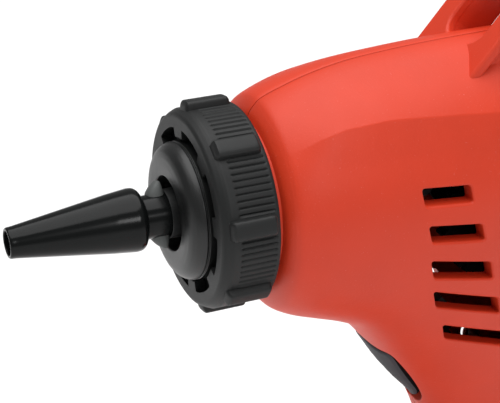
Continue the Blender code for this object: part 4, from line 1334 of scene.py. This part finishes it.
class GLUEGUN_OT_nose(bpy.types.Operator):
    """Build the heat shield disc, the socket ring and the nozzle cone"""

    bl_idname = "gluegun.nose"
    bl_label = "Nose"

    def execute(self, context):
        make_disc()
        make_socket()
        make_sleeve()
        return {"FINISHED"}


class GLUEGUN_OT_trigger(bpy.types.Operator):
    """Build the flush trigger"""

    bl_idname = "gluegun.trigger"
    bl_label = "Trigger"

    def execute(self, context):
        make_trigger(SKIN["tree"])
        return {"FINISHED"}


class GLUEGUN_OT_fittings(bpy.types.Operator):
    """Build the case screws, the power button and the inlet bush"""

    bl_idname = "gluegun.fittings"
    bl_label = "Fittings"

    def execute(self, context):
        make_screws(SKIN["tree"])
        make_button(SKIN["tree"])
        make_bush()
        return {"FINISHED"}


class GLUEGUN_OT_battery(bpy.types.Operator):
    """Build the battery's two shells and its latch button"""

    bl_idname = "gluegun.battery"
    bl_label = "Battery"

    def execute(self, context):
        make_battery()
        return {"FINISHED"}


class GLUEGUN_OT_stage(bpy.types.Operator):
    """Make the floor, the lights and the camera"""

    bl_idname = "gluegun.stage"
    bl_label = "Stage"

    def execute(self, context):
        look = context.scene.glue_gun_look
        make_floor(look)
        make_world(look.world_level)
        for name, (place, aim, size, share) in LIGHTS.items():
            soft_light(name, place, aim, size, look.key_power * share)
        make_camera()
        context.scene.view_settings.view_transform = "Standard"
        return {"FINISHED"}


class GLUEGUN_PT_panel(bpy.types.Panel):
    """Lists the settings and the steps"""

    bl_idname = "GLUEGUN_PT_panel"
    bl_label = "Glue Gun"
    bl_space_type = "VIEW_3D"
    bl_region_type = "UI"
    bl_category = "Glue Gun"

    def draw(self, context):
        for group in (context.scene.glue_gun_sizes, context.scene.glue_gun_look):
            for name in group.__annotations__:
                self.layout.prop(group, name)
        for step in STEPS:
            self.layout.operator(step.bl_idname)


STEPS = (
    GLUEGUN_OT_finishes,
    GLUEGUN_OT_shell,
    GLUEGUN_OT_collar,
    GLUEGUN_OT_nose,
    GLUEGUN_OT_trigger,
    GLUEGUN_OT_fittings,
    GLUEGUN_OT_battery,
    GLUEGUN_OT_stage,
)
CLASSES = (GlueGunSizes, GlueGunLook, *STEPS, GLUEGUN_PT_panel)


def register():
    for made in CLASSES:
        bpy.utils.register_class(made)
    bpy.types.Scene.glue_gun_sizes = bpy.props.PointerProperty(type=GlueGunSizes)
    bpy.types.Scene.glue_gun_look = bpy.props.PointerProperty(type=GlueGunLook)


def unregister():
    del bpy.types.Scene.glue_gun_look
    del bpy.types.Scene.glue_gun_sizes
    for made in reversed(CLASSES):
        bpy.utils.unregister_class(made)


def main():
    register()
    for step in STEPS:
        group, name = step.bl_idname.split(".")
        getattr(getattr(bpy.ops, group), name)()


if __name__ == "__main__":
    main()
